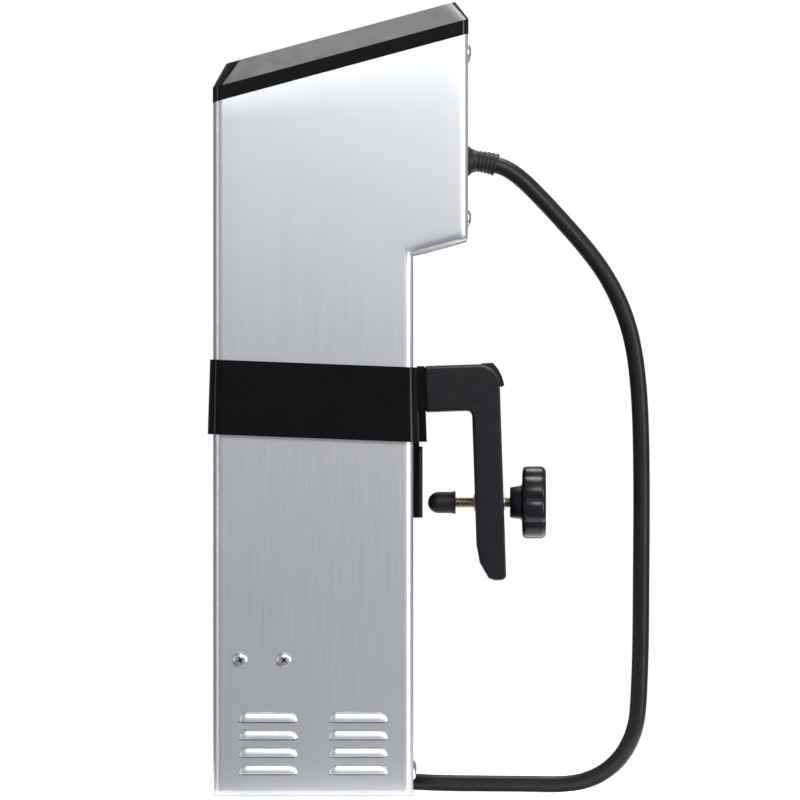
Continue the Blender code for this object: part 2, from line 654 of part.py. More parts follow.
def hollow_cap(rings):
    """Skin the cap's rings, with the roof's outer and inner faces closed between them."""
    body = bmesh.new()
    rows = [[body.verts.new(point) for point in ring] for ring in rings]
    for low, high in [(0, 1), (1, 2), (3, 4), (4, 5), (5, 6), (6, 0)]:
        for here in range(len(rows[low])):
            after = (here + 1) % len(rows[low])
            body.faces.new((rows[low][here], rows[low][after], rows[high][after], rows[high][here]))
    body.faces.new(rows[2])
    body.faces.new(rows[3])
    bmesh.ops.recalc_face_normals(body, faces=body.faces)
    return body


# ---------------------------------------------------------------- collar
def collar_ring(end, side, corner, level):
    """Rounded rectangle about the case at a level of the collar, whose edges fall to the back."""
    outline = rounded_outline(COLLAR_SHIFT - end, COLLAR_SHIFT + end, -side, side, corner)
    return [(x, y, COLLAR_Z + level - x * COLLAR_LEAN) for x, y in outline]


def collar_back(level):
    """Distance of the collar's outer back face from the middle, at a level above its lower edge."""
    share = 1 - level / COLLAR_HEIGHT
    return COLLAR_SHIFT + CASE_DEPTH / 2 + COLLAR_CLEARANCE + COLLAR_WALL + COLLAR_DRAFT * share


def make_collar(black, rubber, axis):
    half = COLLAR_HEIGHT / 2
    inner = (CASE_DEPTH / 2 + COLLAR_CLEARANCE, HALF_WIDTH + COLLAR_CLEARANCE)
    top = tuple(value + COLLAR_WALL for value in inner)
    low = tuple(value + COLLAR_DRAFT for value in top)
    corner = BEND + COLLAR_CLEARANCE
    outer_corner = corner + COLLAR_WALL
    rings = [collar_ring(*low, outer_corner + COLLAR_DRAFT, -half), collar_ring(*top, outer_corner, half),
             collar_ring(*inner, corner, half), collar_ring(*inner, corner, -half)]
    collar = add_object("collar", loft(rings, "loop"), black, axis)
    collar_low = COLLAR_Z - half - TONGUE_X * COLLAR_LEAN
    tongue_bottom = COLLAR_Z - TONGUE_DROP
    tongue = box((TONGUE_X, TONGUE_X + TONGUE_THICKNESS), (-TONGUE_WIDTH / 2, TONGUE_WIDTH / 2),
                 (tongue_bottom, collar_low + 0.006))
    combine(collar, tongue, "UNION", "tongue")
    wide, deep = ARM_SCREW_HEAD_RADIUS + GAP, ARM_SCREW_HEAD + 2 * GAP
    profile = ((-PAST, wide), (deep, wide), (deep, SCREW_HOLE), (2 * COLLAR_WALL + COLLAR_DRAFT, SCREW_HOLE))
    cut(collar, [turned(profile, (inner[0], side * ARM_SCREW_Y, ARM_SCREW_Z), BACKWARD, 20)
                 for side in (-1, 1)])
    pad = box((PAD_X, PAD_X + JAW_PAD_THICKNESS), (-TONGUE_WIDTH / 2, TONGUE_WIDTH / 2),
              (tongue_bottom, COLLAR_Z - JAW_PAD_DROP))
    add_object("jaw_pad", pad, rubber, axis)
    return inner[0]


def plate_x():
    """Where the plate's inner face crosses the collar's middle level, with a gap at its upper edge."""
    return collar_back(COLLAR_HEIGHT) + ARM_TOP * math.sin(-ARM_LEAN) + 2 * GAP


def arm_point(x, z):
    """World position in the XZ plane of a point of the arm's own frame."""
    cosine, sine = math.cos(ARM_LEAN), math.sin(ARM_LEAN)
    return (plate_x() + x * cosine + z * sine, COLLAR_Z - x * sine + z * cosine)


def leg_middle():
    """Where the clamp screw's axis crosses the leg's middle line, and half the thread insert's length."""
    middle = arm_point((LEG_INNER + LEG_OUTER) / 2, -CLAMP_SCREW_DROP)[0]
    return middle, (LEG_OUTER - LEG_INNER) / 2 + INSERT_FLANGE


def arm_prism(outline, width):
    return prism([arm_point(x, z) for x, z in outline], "XZ", -width / 2, width / 2)


def edges_rounded(item, width, segments=2):
    bevel = item.modifiers.new("edges", "BEVEL")
    bevel.width = width
    bevel.segments = segments
    bevel.limit_method = "ANGLE"
    bevel.angle_limit = math.radians(50)


def make_arm(black, steel, brass, axis, collar_inner):
    """Mounting plate, arm with its leg, the thread in the leg and the two screws that hold them."""
    plate = add_object("clamp_plate", arm_prism(((0, PLATE_BOTTOM), (PLATE_THICKNESS, PLATE_BOTTOM),
                       (PLATE_THICKNESS, ARM_TOP), (0, ARM_TOP)), PLATE_WIDTH), black, axis)
    start = PLATE_THICKNESS + GAP
    outline = [(start, ARM_UNDERSIDE)]
    outline += arc((LEG_INNER - ARM_INNER_CORNER, ARM_UNDERSIDE - ARM_INNER_CORNER), ARM_INNER_CORNER, 90, 0)
    outline += [(LEG_INNER, LEG_TAPER_START),
                (LEG_INNER + 0.25 * LEG_TOE, 0.5 * (LEG_TAPER_START + ARM_BOTTOM)),
                (LEG_INNER + LEG_TOE, ARM_BOTTOM + 0.0012), (LEG_INNER + LEG_TOE + 0.0028, ARM_BOTTOM)]
    outline += arc((LEG_OUTER - TOE_CORNER, ARM_BOTTOM + TOE_CORNER), TOE_CORNER, -90, 0, 4)
    outline += arc((LEG_OUTER - ARM_CORNER, ARM_TOP - ARM_CORNER), ARM_CORNER, 0, 90, 8)
    outline += [(start, ARM_TOP)]
    arm = add_object("clamp_arm", arm_prism(outline, ARM_WIDTH), black, axis)
    edges_rounded(arm, ARM_EDGE)
    centre = (LEG_OUTER - ARM_CORNER, ARM_TOP - ARM_CORNER)
    lug = arc(centre, ARM_CORNER - 0.002, 0, 90, 6)
    lug += [(centre[0] + 0.0012, ARM_TOP + 0.0004), (LEG_OUTER - 0.0030, ARM_TOP + 0.0005),
            (LEG_OUTER - 0.0006, ARM_TOP - 0.0024), (LEG_OUTER + 0.0012, ARM_TOP - 0.0062),
            (LEG_OUTER + 0.0022, ARM_TOP - 0.0104), (LEG_OUTER + 0.0008, ARM_TOP - 0.0114)]
    combine(arm, arm_prism(lug, LUG_WIDTH), "UNION", "lug")
    screw_seat = (0, 0, CLAMP_SCREW_Z)
    middle, half = leg_middle()
    insert_hole = ((middle - 1.6 * half, INSERT_RADIUS + GAP), (middle + 1.6 * half, INSERT_RADIUS + GAP))
    bores = [turned(insert_hole, screw_seat, BACKWARD)]
    screw_start = collar_inner + COLLAR_SHIFT + GAP
    arm_holes = []
    for number, side in enumerate((-1, 1), 1):
        seat = (screw_start, side * ARM_SCREW_Y, ARM_SCREW_Z)
        reach = ARM_SCREW_HEAD + ARM_SCREW_LENGTH
        profile = ((0, ARM_SCREW_HEAD_RADIUS), (ARM_SCREW_HEAD, ARM_SCREW_HEAD_RADIUS),
                   (ARM_SCREW_HEAD, SCREW_RADIUS), (reach, SCREW_RADIUS))
        add_object(f"arm_screw_{number}", turned(profile, seat, BACKWARD, 16), steel, axis)
        arm_holes.append(((0, SCREW_HOLE), (reach + GAP, SCREW_HOLE), seat))
    bores += [turned(hole[:2], hole[2], BACKWARD, 16) for hole in arm_holes]
    cut(arm, bores, "bores")
    cut(plate, [turned(hole[:2], hole[2], BACKWARD, 16) for hole in arm_holes])
    bore = CLAMP_SCREW_RADIUS + GAP
    sleeve = ((middle - half, bore), (middle + half, bore), (middle + half, INSERT_RADIUS),
              (middle - half, INSERT_RADIUS))
    add_object("thread_insert", turned(sleeve, screw_seat, BACKWARD, ends="loop"), brass, axis)


# ---------------------------------------------------------------- clamp screw
def make_clamp_screw(satin, rubber, steel, tip_axis, knob_axis):
    seat = (0, 0, CLAMP_SCREW_Z)
    bore = CLAMP_SCREW_RADIUS + GAP
    open_end = TIP_FRONT + TIP_LENGTH
    bore_end = open_end - TIP_BORE_DEPTH
    dome = [(TIP_FRONT + TIP_RADIUS * (1 - math.cos(t)), TIP_RADIUS * math.sin(t))
            for t in np.radians((6, 25, 45, 65, 90))]
    tip = dome + [(open_end - 0.002, TIP_RADIUS), (open_end, TIP_RADIUS + 0.0004), (open_end, bore),
                  (bore_end, bore)]
    add_object("screw_tip", turned(tip, seat, BACKWARD), rubber, tip_axis)
    screw_end = knob_front() + KNOB_BORE_DEPTH - GAP
    shank = ((bore_end + GAP, CLAMP_SCREW_RADIUS - 0.0006), (bore_end + GAP + 0.0006, CLAMP_SCREW_RADIUS),
             (screw_end, CLAMP_SCREW_RADIUS))
    add_object("clamp_screw", turned(shank, seat, BACKWARD), steel, knob_axis)
    add_object("clamp_knob", knob_body(bore), satin, knob_axis)


def knob_front():
    middle, half = leg_middle()
    return middle + half + KNOB_CLEARANCE


def knob_body(bore):
    """Lobed knob on a tapered hub, with a blind bore for the screw."""
    steps = KNOB_LOBES * 6
    start = knob_front()
    head = start + HUB_LENGTH
    end = start + KNOB_LENGTH
    rings = [(start + KNOB_BORE_DEPTH, bore, 0), (start, bore, 0), (start, HUB_RADII[0], 0),
             (head, HUB_RADII[1], 0), (head - 0.0006, 0.82 * KNOB_RADIUS, 0.3),
             (head + 0.0004, 0.93 * KNOB_RADIUS, 0.9), (head + 0.0018, KNOB_RADIUS, 1),
             (end - 0.0022, KNOB_RADIUS, 1), (end - 0.0006, 0.955 * KNOB_RADIUS, 1),
             (end, 0.88 * KNOB_RADIUS, 0.8), (end, 0.70 * KNOB_RADIUS, 0)]
    skins = []
    for x, radius, lobed in rings:
        ring = []
        for step in range(steps):
            angle = 2 * math.pi * step / steps
            dip = 1 - abs(math.cos(KNOB_LOBES / 2 * (angle - KNOB_PHASE) + math.pi / 2))
            r = radius * (1 - lobed * dip * (1 - KNOB_VALLEY / KNOB_RADIUS))
            ring.append((x, -r * math.cos(angle), CLAMP_SCREW_Z + r * math.sin(angle)))
        skins.append(ring)
    return loft(skins)


# ---------------------------------------------------------------- inside
def heater_route():
    """Down one leg, round the coil from top to bottom, out and back up the return leg."""
    end = HEATER_START + 2 * math.pi * HEATER_TURNS
    bottom = HEATER_COIL_TOP - HEATER_PITCH * HEATER_TURNS
    steps = int(16 * HEATER_TURNS)

    def at(angle, radius, z):
        return (SHAFT_X + radius * math.cos(angle), radius * math.sin(angle), z)

    points = [at(HEATER_START, HEATER_COIL_RADIUS, z)
              for z in np.linspace(HEATER_TOP, HEATER_COIL_TOP + 0.012, 12)]
    for step in range(1, steps):
        share = step / steps
        points.append(at(HEATER_START + (end - HEATER_START) * share, HEATER_COIL_RADIUS,
                         HEATER_COIL_TOP + (bottom - HEATER_COIL_TOP) * share))
    points += [at(end, HEATER_RETURN_RADIUS, z) for z in np.linspace(bottom + 0.010, HEATER_TOP, 14)]
    return points, at(HEATER_START, HEATER_COIL_RADIUS, 0)[:2], at(end, HEATER_RETURN_RADIUS, 0)[:2]


def probe_holes(low, high):
    return [rod_through(PROBE_X, side * PROBE_Y, PROBE_RADIUS + 2 * GAP, low, high) for side in (-1, 1)]


def rod_holes(low, high, legs):
    """Holes for the heater's legs and the two probes."""
    return [rod_through(x, y, HEATER_RADIUS + 3 * GAP, low, high) for x, y in legs] + probe_holes(low, high)


def make_inside(finishes, rotor_axis):
    steel, plastic, alloy = finishes["heater_steel"], finishes["inner_plastic"], finishes["aluminium"]
    route, *legs = heater_route()
    shaft = (SHAFT_X, 0)
    add_cord("heater_coil", smooth_through(route, 0.0058), HEATER_RADIUS, steel)
    for number, (x, y) in enumerate(legs, 1):
        seat = BULKHEAD_Z + BULKHEAD_THICKNESS + GAP
        nut = turned(((seat, NUT_RADIUS), (seat + NUT_HEIGHT, NUT_RADIUS)), (x, y, 0), UP, 6)
        nut_object = add_object(f"heater_nut_{number}", nut, finishes["brass"])
        cut(nut_object, [rod_through(x, y, HEATER_RADIUS + GAP, seat - PAST, seat + NUT_HEIGHT + PAST)])
    for name, side in (("temp_probe", 1), ("level_probe", -1)):
        profile = ((PROBE_BOTTOM, 0.4 * PROBE_RADIUS), (PROBE_BOTTOM + 0.0008, 0.85 * PROBE_RADIUS),
                   (PROBE_BOTTOM + 0.002, PROBE_RADIUS), (PROBE_TOP, PROBE_RADIUS))
        add_object(name, turned(profile, (PROBE_X, side * PROBE_Y, 0), UP, 16), finishes["bright_steel"])

    bulkhead_top = BULKHEAD_Z + BULKHEAD_THICKNESS
    bulkhead = add_object("bulkhead", prism(inner_outline(), "XY", BULKHEAD_Z, bulkhead_top), plastic)
    through = (BULKHEAD_Z - PAST, bulkhead_top + PAST)
    cut(bulkhead, rod_holes(*through, legs) + [rod_through(*shaft, SEAL_RADIUS + GAP, *through, 32)])
    seal_low = BULKHEAD_Z - 0.001
    add_object("shaft_seal", washer(BORE_RADIUS, SEAL_RADIUS, seal_low, seal_low + BEARING_THICKNESS, shaft),
               finishes["rubber_black"])

    bracket_top = MOTOR_BRACKET_Z + MOTOR_BRACKET_THICKNESS
    bracket = add_object("motor_bracket", prism(inner_outline(), "XY", MOTOR_BRACKET_Z, bracket_top), alloy)
    through = (MOTOR_BRACKET_Z - PAST, bracket_top + PAST)
    vents = [rod_through(SHAFT_X, side * VENT_Y, VENT_RADIUS, *through) for side in (-1, 1)]
    cut(bracket, vents + probe_holes(*through) + [rod_through(*shaft, BEARING_RADIUS + GAP, *through, 32)])
    bearing = washer(BORE_RADIUS, BEARING_RADIUS, bracket_top - BEARING_THICKNESS, bracket_top, shaft)
    add_object("upper_bearing", bearing, finishes["bright_steel"])
    motor_low = bracket_top + GAP
    motor_high = motor_low + MOTOR_LENGTH
    shell = ((motor_low, BORE_RADIUS), (motor_high, BORE_RADIUS), (motor_high, MOTOR_RADIUS - 0.003),
             (motor_high - 0.003, MOTOR_RADIUS), (motor_low, MOTOR_RADIUS))
    add_object("motor_housing", turned(shell, (*shaft, 0), UP, 40, ends="loop"), steel)

    make_pump_bracket(alloy, legs)
    bearing_low = PUMP_BRACKET_Z - 0.0015
    add_object("lower_bearing", washer(BORE_RADIUS, SEAL_RADIUS, bearing_low, bearing_low + BEARING_THICKNESS,
                                       shaft), finishes["bright_steel"])
    wall = washer(*PUMP_HOUSING_RADII, BASE_THICKNESS + GAP, PUMP_HOUSING_TOP, shaft)
    housing = add_object("pump_housing", wall, plastic)
    wide, narrow = PUMP_HOUSING_RADII[1] + PAST, PUMP_OUTLET / 2
    for name, x, y in (("outlets_x", wide, narrow), ("outlets_y", narrow, wide)):
        cut(housing, [box((SHAFT_X - x, SHAFT_X + x), (-y, y), PUMP_OUTLET_Z)], name)
    make_rotor(finishes, rotor_axis)
    make_electrics(finishes)


def make_pump_bracket(alloy, legs):
    """Folded tray across the case, which the side screws hold."""
    half = HALF_WIDTH - SHEET - GAP
    inside = half - PUMP_BRACKET_SHEET
    low, high = PUMP_BRACKET_Z, PUMP_BRACKET_Z + PUMP_BRACKET_HEIGHT
    floor = low + PUMP_BRACKET_SHEET
    outline = ((-half, high), (-half, low), (half, low), (half, high), (inside, high), (inside, floor),
               (-inside, floor), (-inside, high))
    ends = (FRONT_X + PUMP_BRACKET_INSET[0], BACK_X - PUMP_BRACKET_INSET[1])
    tray = add_object("pump_bracket", prism(outline, "YZ", *ends), alloy)
    through = (low - PAST, floor + PAST)
    holes = rod_holes(*through, legs) + [rod_through(SHAFT_X, 0, SEAL_RADIUS + GAP, *through, 32)]
    cut(tray, holes + side_screw_holes())


def bladed(blades, hub_radius, tip_radius, low, high, lean):
    """Flat radial blades about the shaft, each leaning about its own length."""
    solids = []
    for blade in range(blades):
        half = (high - low) / 2
        body = box((hub_radius - PAST, tip_radius), (-BLADE / 2, BLADE / 2), (-half, half))
        turn = Matrix.Rotation(2 * math.pi * blade / blades, 4, "Z") @ Matrix.Rotation(lean, 4, "X")
        place = Matrix.Translation((SHAFT_X, 0, (low + high) / 2))
        bmesh.ops.transform(body, matrix=place @ turn, verts=body.verts)
        solids.append(body)
    return together(solids)


def make_rotor(finishes, axis):
    base = (SHAFT_X, 0, 0)
    add_object("motor_shaft", turned(((SHAFT_BOTTOM, SHAFT_RADIUS), (SHAFT_TOP, SHAFT_RADIUS)), base, UP),
               finishes["bright_steel"], axis)
    low, high = IMPELLER_Z
    hub = ((low, IMPELLER_HUB), (high, IMPELLER_HUB), (high, BORE_RADIUS), (SHAFT_BOTTOM - GAP, BORE_RADIUS))
    impeller = add_object("impeller", turned(hub, base, UP), finishes["inner_plastic"], axis)
    combine(impeller, bladed(IMPELLER_BLADES, IMPELLER_HUB, IMPELLER_RADIUS, low + BLADE_INSET,
                             high - BLADE_INSET, 0), "UNION", "blades")
    low, high = FAN_Z
    fan = add_object("fan_rotor", washer(BORE_RADIUS, FAN_HUB, low, high, (SHAFT_X, 0), 24),
                     finishes["satin_black"], axis)
    combine(fan, bladed(FAN_BLADES, FAN_HUB, FAN_RADIUS, low + BLADE_INSET, high - BLADE_INSET, FAN_LEAN),
            "UNION", "blades")


def make_electrics(finishes):
    """Main board on the case's side, with the heat sink and the cord's terminals on it."""
    front, rise, inset = MAIN_BOARD_INSET
    x_low, z_low = FRONT_X + front, NECK_HEIGHT + rise
    board_y = inset - HALF_WIDTH
    add_object("main_board", box((x_low, x_low + MAIN_BOARD_LENGTH), (board_y - BOARD, board_y),
                                 (z_low, z_low + MAIN_BOARD_HEIGHT)), finishes["board_green"])
    face = board_y + GAP
    x_range, z_range = ((start + on_board, start + on_board + size) for start, on_board, size
                        in zip((x_low, z_low), TERMINAL_ON_BOARD, TERMINAL_SIZE))
    terminals = box(x_range, (face, face + TERMINAL_DEPTH), z_range)
    add_object("terminal_block", terminals, finishes["inner_plastic"])
    x_low, z_low = x_low + SINK_ON_BOARD[0], z_low + SINK_ON_BOARD[1]
    fin = SINK_LENGTH / (2 * SINK_FINS - 1)
    comb = [(x_low + SINK_LENGTH, face), (x_low, face)]
    for number in range(SINK_FINS):
        left = x_low + 2 * number * fin
        comb += [(left, face + SINK_DEPTH), (left + fin, face + SINK_DEPTH)]
        if number < SINK_FINS - 1:
            comb += [(left + fin, face + SINK_BASE), (left + 2 * fin, face + SINK_BASE)]
    add_object("heat_sink", prism(comb, "XY", z_low, z_low + SINK_HEIGHT), finishes["aluminium"])


# ---------------------------------------------------------------- cord
def relief_rings():
    """Places and radii along the strain relief: inner flange, neck in the cover, outer flange, sleeve."""
    cover_out = HEAD_X - SHEET - GAP
    cover_in = cover_out - SHEET
    inner = cover_in - GAP
    outer = cover_out + GAP
    rings = [(inner - RELIEF_INNER, RELIEF_FLANGE - 0.0004), (inner - RELIEF_INNER + 0.0005, RELIEF_FLANGE),
             (inner, RELIEF_FLANGE), (inner, RELIEF_NECK), (outer, RELIEF_NECK),
             (outer, RELIEF_FLANGE - 0.0003)]
    return rings + [(HEAD_X + behind, radius) for behind, radius in RELIEF_SLEEVE]


def make_cord(rubber, satin, brass):
    rings = []
    for x, radius in relief_rings():
        bent = max(0.0, x - HEAD_X - RELIEF_BEND)
        upward = Vector((RELIEF_FALL * bent, 0, 1)).normalized()
        centre = Vector((x, 0, RELIEF_Z - RELIEF_FALL / 2 * bent ** 2))
        angles = [2 * math.pi * step / 24 for step in range(24)]
        rings.append([centre + (SIDEWAYS * math.cos(a) + upward * math.sin(a)) * radius for a in angles])
    add_object("strain_relief", loft(rings), rubber)
    route = [(HEAD_X + x, CORD_SPREAD * y, z) for x, y, z in CORD_ROUTE]
    tail = [(HEAD_X + x, HALF_WIDTH + y, z) for x, y, z in TAIL_ROUTE]
    add_cord("power_cord", smooth_through(route, CORD_SPACING), CORD_RADIUS, rubber)
    add_cord("cord_tail", smooth_through(tail, CORD_SPACING / 2), CORD_RADIUS, rubber)

    outer = HANK_FOLD + CORD_RADIUS
    ends = arc((HANK_X, HANK_Y[1]), outer, 0, 180, 12) + arc((HANK_X, HANK_Y[0]), outer, 180, 360, 12)
    add_object("cord_hank", prism(ends, "XY", HANK_BOTTOM, HANK_TOP), rubber)
    inner = (HANK_X - outer - GAP, HANK_X + outer + GAP, HANK_BOTTOM - GAP, HANK_TOP + GAP)
    middle = sum(HANK_Y) / 2
    band = []
    for y, grow in ((-1, 0), (1, 0), (1, TIE_THICKNESS), (-1, TIE_THICKNESS)):
        outline = rounded_outline(inner[0] - grow, inner[1] + grow, inner[2] - grow, inner[3] + grow,
                                  0.0005 + grow, 3)
        band.append([(x, middle + y * TIE_WIDTH / 2, z) for x, z in outline])
    add_object("cord_tie", loft(band, "loop"), satin)
    make_plug(rubber, brass)


def make_plug(rubber, brass):
    """Three-pin plug lying along Y beside the hank, its boot towards the cord."""
    def ring(y, width, height, corner):
        outline = rounded_outline(PLUG_X - width / 2, PLUG_X + width / 2, PLUG_Z - height / 2,
                                  PLUG_Z + height / 2, corner)
        return [(x, y, z) for x, z in outline]

    width, height = PLUG_SIZE
    throat = 2 * CORD_RADIUS + 0.002
    front, back, boot_end = PLUG_Y
    rings = [ring(front, width - 0.001, height - 0.001, 0.004),
             ring(front + 0.001, width, height, 0.005), ring(back - 0.012, width, height, 0.006),
             ring(back, 0.7 * width, 0.7 * height, 0.006),
             ring(back + 0.004, throat + 0.002, throat + 0.002, throat / 2),
             ring(boot_end, throat, throat, throat / 2 - 0.0001)]
    add_object("plug_body", loft(rings), rubber)
    thick, tall, length = PLUG_BLADE
    face = front - GAP
    blade_z = PLUG_Z - PIN_LINE / 2
    for number, side in enumerate((-1, 1), 1):
        x = PLUG_X + side * BLADE_SPACING / 2
        add_object(f"plug_blade_{number}", box((x - thick / 2, x + thick / 2), (face - length, face),
                   (blade_z - tall / 2, blade_z + tall / 2)), brass)
    profile = ((-GROUND_PIN_LENGTH, 0.5 * GROUND_PIN_RADIUS), (0.002 - GROUND_PIN_LENGTH, GROUND_PIN_RADIUS),
               (0, GROUND_PIN_RADIUS))
    add_object("plug_ground_pin", turned(profile, (PLUG_X, face, blade_z + PIN_LINE), SIDEWAYS, 16), brass)


# ---------------------------------------------------------------- whole model
def main():
    for item in list(bpy.data.objects):
        bpy.data.objects.remove(item)
    finishes = all_finishes()
    steel, bright = finishes["case_steel"], finishes["bright_steel"]
    gloss, satin, rubber = finishes["gloss_black"], finishes["satin_black"], finishes["rubber_black"]
    make_case(steel)
    make_back_cover(steel)
    make_base_plate(steel)
    make_case_screws(bright)
    board_top = make_cap(gloss, rubber, finishes["lens_dark"], finishes["key_grey"])
    add_object("display_board", panel_block((0, 0), DISPLAY_BOARD_SIZE, 0.002, board_top, board_top + BOARD),
               finishes["board_green"])
    collar_axis = add_axis("collar_axis", (0, 0, COLLAR_Z))
    tip_axis = add_axis("tip_axis", (TIP_FRONT, 0, CLAMP_SCREW_Z))
    knob_axis = add_axis("knob_axis", (knob_front(), 0, CLAMP_SCREW_Z))
    rotor_axis = add_axis("rotor_axis", (SHAFT_X, 0, 0))
    collar_inner = make_collar(gloss, rubber, collar_axis)
    make_arm(satin, bright, finishes["brass"], collar_axis, collar_inner)
    make_clamp_screw(satin, rubber, bright, tip_axis, knob_axis)
    make_inside(finishes, rotor_axis)
    make_cord(rubber, satin, finishes["brass"])


main()
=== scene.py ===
"""Sous vide circulator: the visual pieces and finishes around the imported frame.

Metres, +Z up, front towards -X, clamp and cord towards +X.
"""
import json
import math

import bmesh
import bpy
import numpy as np
from bpy.props import FloatProperty, FloatVectorProperty, PointerProperty
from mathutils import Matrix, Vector


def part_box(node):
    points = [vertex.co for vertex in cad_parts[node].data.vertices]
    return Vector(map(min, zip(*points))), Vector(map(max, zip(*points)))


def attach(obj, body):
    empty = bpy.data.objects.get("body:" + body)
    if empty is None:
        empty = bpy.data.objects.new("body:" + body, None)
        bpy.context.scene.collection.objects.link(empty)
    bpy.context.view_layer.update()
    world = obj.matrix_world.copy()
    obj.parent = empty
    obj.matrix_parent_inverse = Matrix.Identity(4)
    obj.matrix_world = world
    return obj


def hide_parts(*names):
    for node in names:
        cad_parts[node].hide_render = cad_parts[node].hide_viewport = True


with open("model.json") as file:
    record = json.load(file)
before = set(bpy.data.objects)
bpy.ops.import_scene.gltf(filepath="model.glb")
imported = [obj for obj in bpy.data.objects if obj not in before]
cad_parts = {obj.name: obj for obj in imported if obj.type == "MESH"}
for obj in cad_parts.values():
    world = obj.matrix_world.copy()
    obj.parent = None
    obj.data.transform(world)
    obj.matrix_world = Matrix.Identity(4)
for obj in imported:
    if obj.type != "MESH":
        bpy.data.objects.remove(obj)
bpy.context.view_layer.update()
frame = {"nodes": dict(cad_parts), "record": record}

bl_info = {
    "name": "Sous Vide Circulator",
    "version": (1, 0, 0),
    "blender": (4, 5, 0),
    "location": "3D View > Sidebar > Circulator",
    "description": "Builds the visual pieces of a sous vide circulator around its frame",
    "category": "Add Mesh",
}

X, Y, Z = np.eye(3)


# ---------------------------------------------------------------- settings
def length(name, text, default):
    return FloatProperty(name=name, description=text, default=default, min=0, unit="LENGTH", precision=5)


def tint(name, text, default):
    return FloatVectorProperty(name=name, description=text, default=default, min=0, max=1, subtype="COLOR")


class CirculatorSizes(bpy.types.PropertyGroup):
    """Sizes of the details that the frame leaves plain."""
    fold: length("Fold radius", "Outer radius of the case's folded edges", 0.0035)
    flange: length("Back flange", "Width of the strips that the back cover is screwed to", 0.010)
    sheet: length("Sheet", "Thickness of the case's steel", 0.001)
    head_slope: FloatProperty(name="Head slope", description="Slope of the cap and of the head's underside",
                              default=math.radians(15.1), subtype="ANGLE")
    louvre_length: length("Louvre length", "Length of a louvre's hood", 0.0270)
    louvre_rise: length("Louvre rise", "Height of a louvre's hood up the case", 0.0041)
    louvre_hood: length("Louvre hood", "How far a hood's lip stands out from the case", 0.0015)
    louvre_end: length("Louvre end", "Length of a hood's rounded end", 0.0034)
    louvre_pitch: length("Louvre pitch", "Height from one louvre to the next", 0.00833)
    louvre_first: length("First louvre", "Height of the lowest lip", 0.0106)
    louvre_inset: length("Louvre inset", "From the case's front and back to the hoods' middles", 0.0252)
    thread_pitch: length("Thread pitch", "Pitch of the clamp screw", 0.0008)
    thread_depth: length("Thread depth", "Depth of the clamp screw's thread", 0.0005)
    relief_rib: length("Relief rib", "Depth of the grooves round the strain relief", 0.00035)
    cord: length("Cord", "Diameter of the mains cord", 0.008)


class CirculatorColours(bpy.types.PropertyGroup):
    """Colours of the finishes."""
    steel: tint("Case steel", "Brushed steel of the case and its covers", (0.57, 0.58, 0.61))
    bright: tint("Bright steel", "Screws and shafts", (0.56, 0.56, 0.55))
    gloss: tint("Gloss black", "Cap and collar", (0.0015, 0.0015, 0.0017))
    satin: tint("Satin black", "Clamp arm and knob", (0.0035, 0.004, 0.006))
    rubber: tint("Rubber black", "Cord, strain relief and pads", (0.005, 0.005, 0.0055))
    lens: tint("Lens", "Display window", (0.006, 0.007, 0.010))
    keys: tint("Keys", "Push keys", (0.22, 0.23, 0.25))
    brass: tint("Brass", "Plug pins and thread insert", (0.72, 0.52, 0.22))
    board: tint("Boards", "Circuit boards", (0.02, 0.16, 0.07))
    floor: tint("Floor", "Studio floor", (0.90, 0.90, 0.90))


def sizes():
    return bpy.context.scene.circulator_sizes


def colours():
    return bpy.context.scene.circulator_colours


# ---------------------------------------------------------------- places on the frame
def corners(node):
    """Lowest and highest corner of a node, as arrays."""
    return tuple(np.array(corner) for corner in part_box(node))


def middle(node):
    low, high = corners(node)
    return (low + high) / 2


def node_points(node):
    mesh = frame["nodes"][node].data
    points = np.empty(len(mesh.vertices) * 3)
    mesh.vertices.foreach_get("co", points)
    return points.reshape(-1, 3)


# ---------------------------------------------------------------- surfaces
def outward(points, quads, triangles):
    """Turns every face round when the volume, the sum of a.(b x c)/6 over the triangles, is negative."""
    split = np.concatenate([quads[:, [0, 1, 2]], quads[:, [0, 2, 3]], triangles])
    a, b, c = (points[split[:, corner]] for corner in range(3))
    if np.einsum("ij,ij->", a, np.cross(b, c)) < 0:
        return points, quads[:, ::-1], triangles[:, ::-1]
    return points, quads, triangles


def skin(rings, loop=False):
    """Closed surface through rings[row, column]: a quad between each four neighbours, round every ring.

    The end rings close on their middle points, or the last ring joins the first one when loop is true.
    """
    rows, columns = rings.shape[:2]
    index = np.arange(rows * columns).reshape(rows, columns)
    low, high = (index, np.roll(index, -1, 0)) if loop else (index[:-1], index[1:])
    quads = np.stack([low, np.roll(low, -1, 1), np.roll(high, -1, 1), high], -1).reshape(-1, 4)
    points = rings.reshape(-1, 3)
    triangles = np.empty((0, 3), int)
    if not loop:
        ends = np.broadcast_to([[len(points)], [len(points) + 1]], (2, columns))
        first, last = index[0], index[-1]
        triangles = np.concatenate([np.stack([np.roll(first, -1), first, ends[0]], -1),
                                    np.stack([last, np.roll(last, -1), ends[1]], -1)])
        points = np.concatenate([points, rings[[0, -1]].mean(1)])
    return outward(points, quads, triangles)


def around(steps):
    return np.linspace(0, 2 * math.pi, steps, endpoint=False)


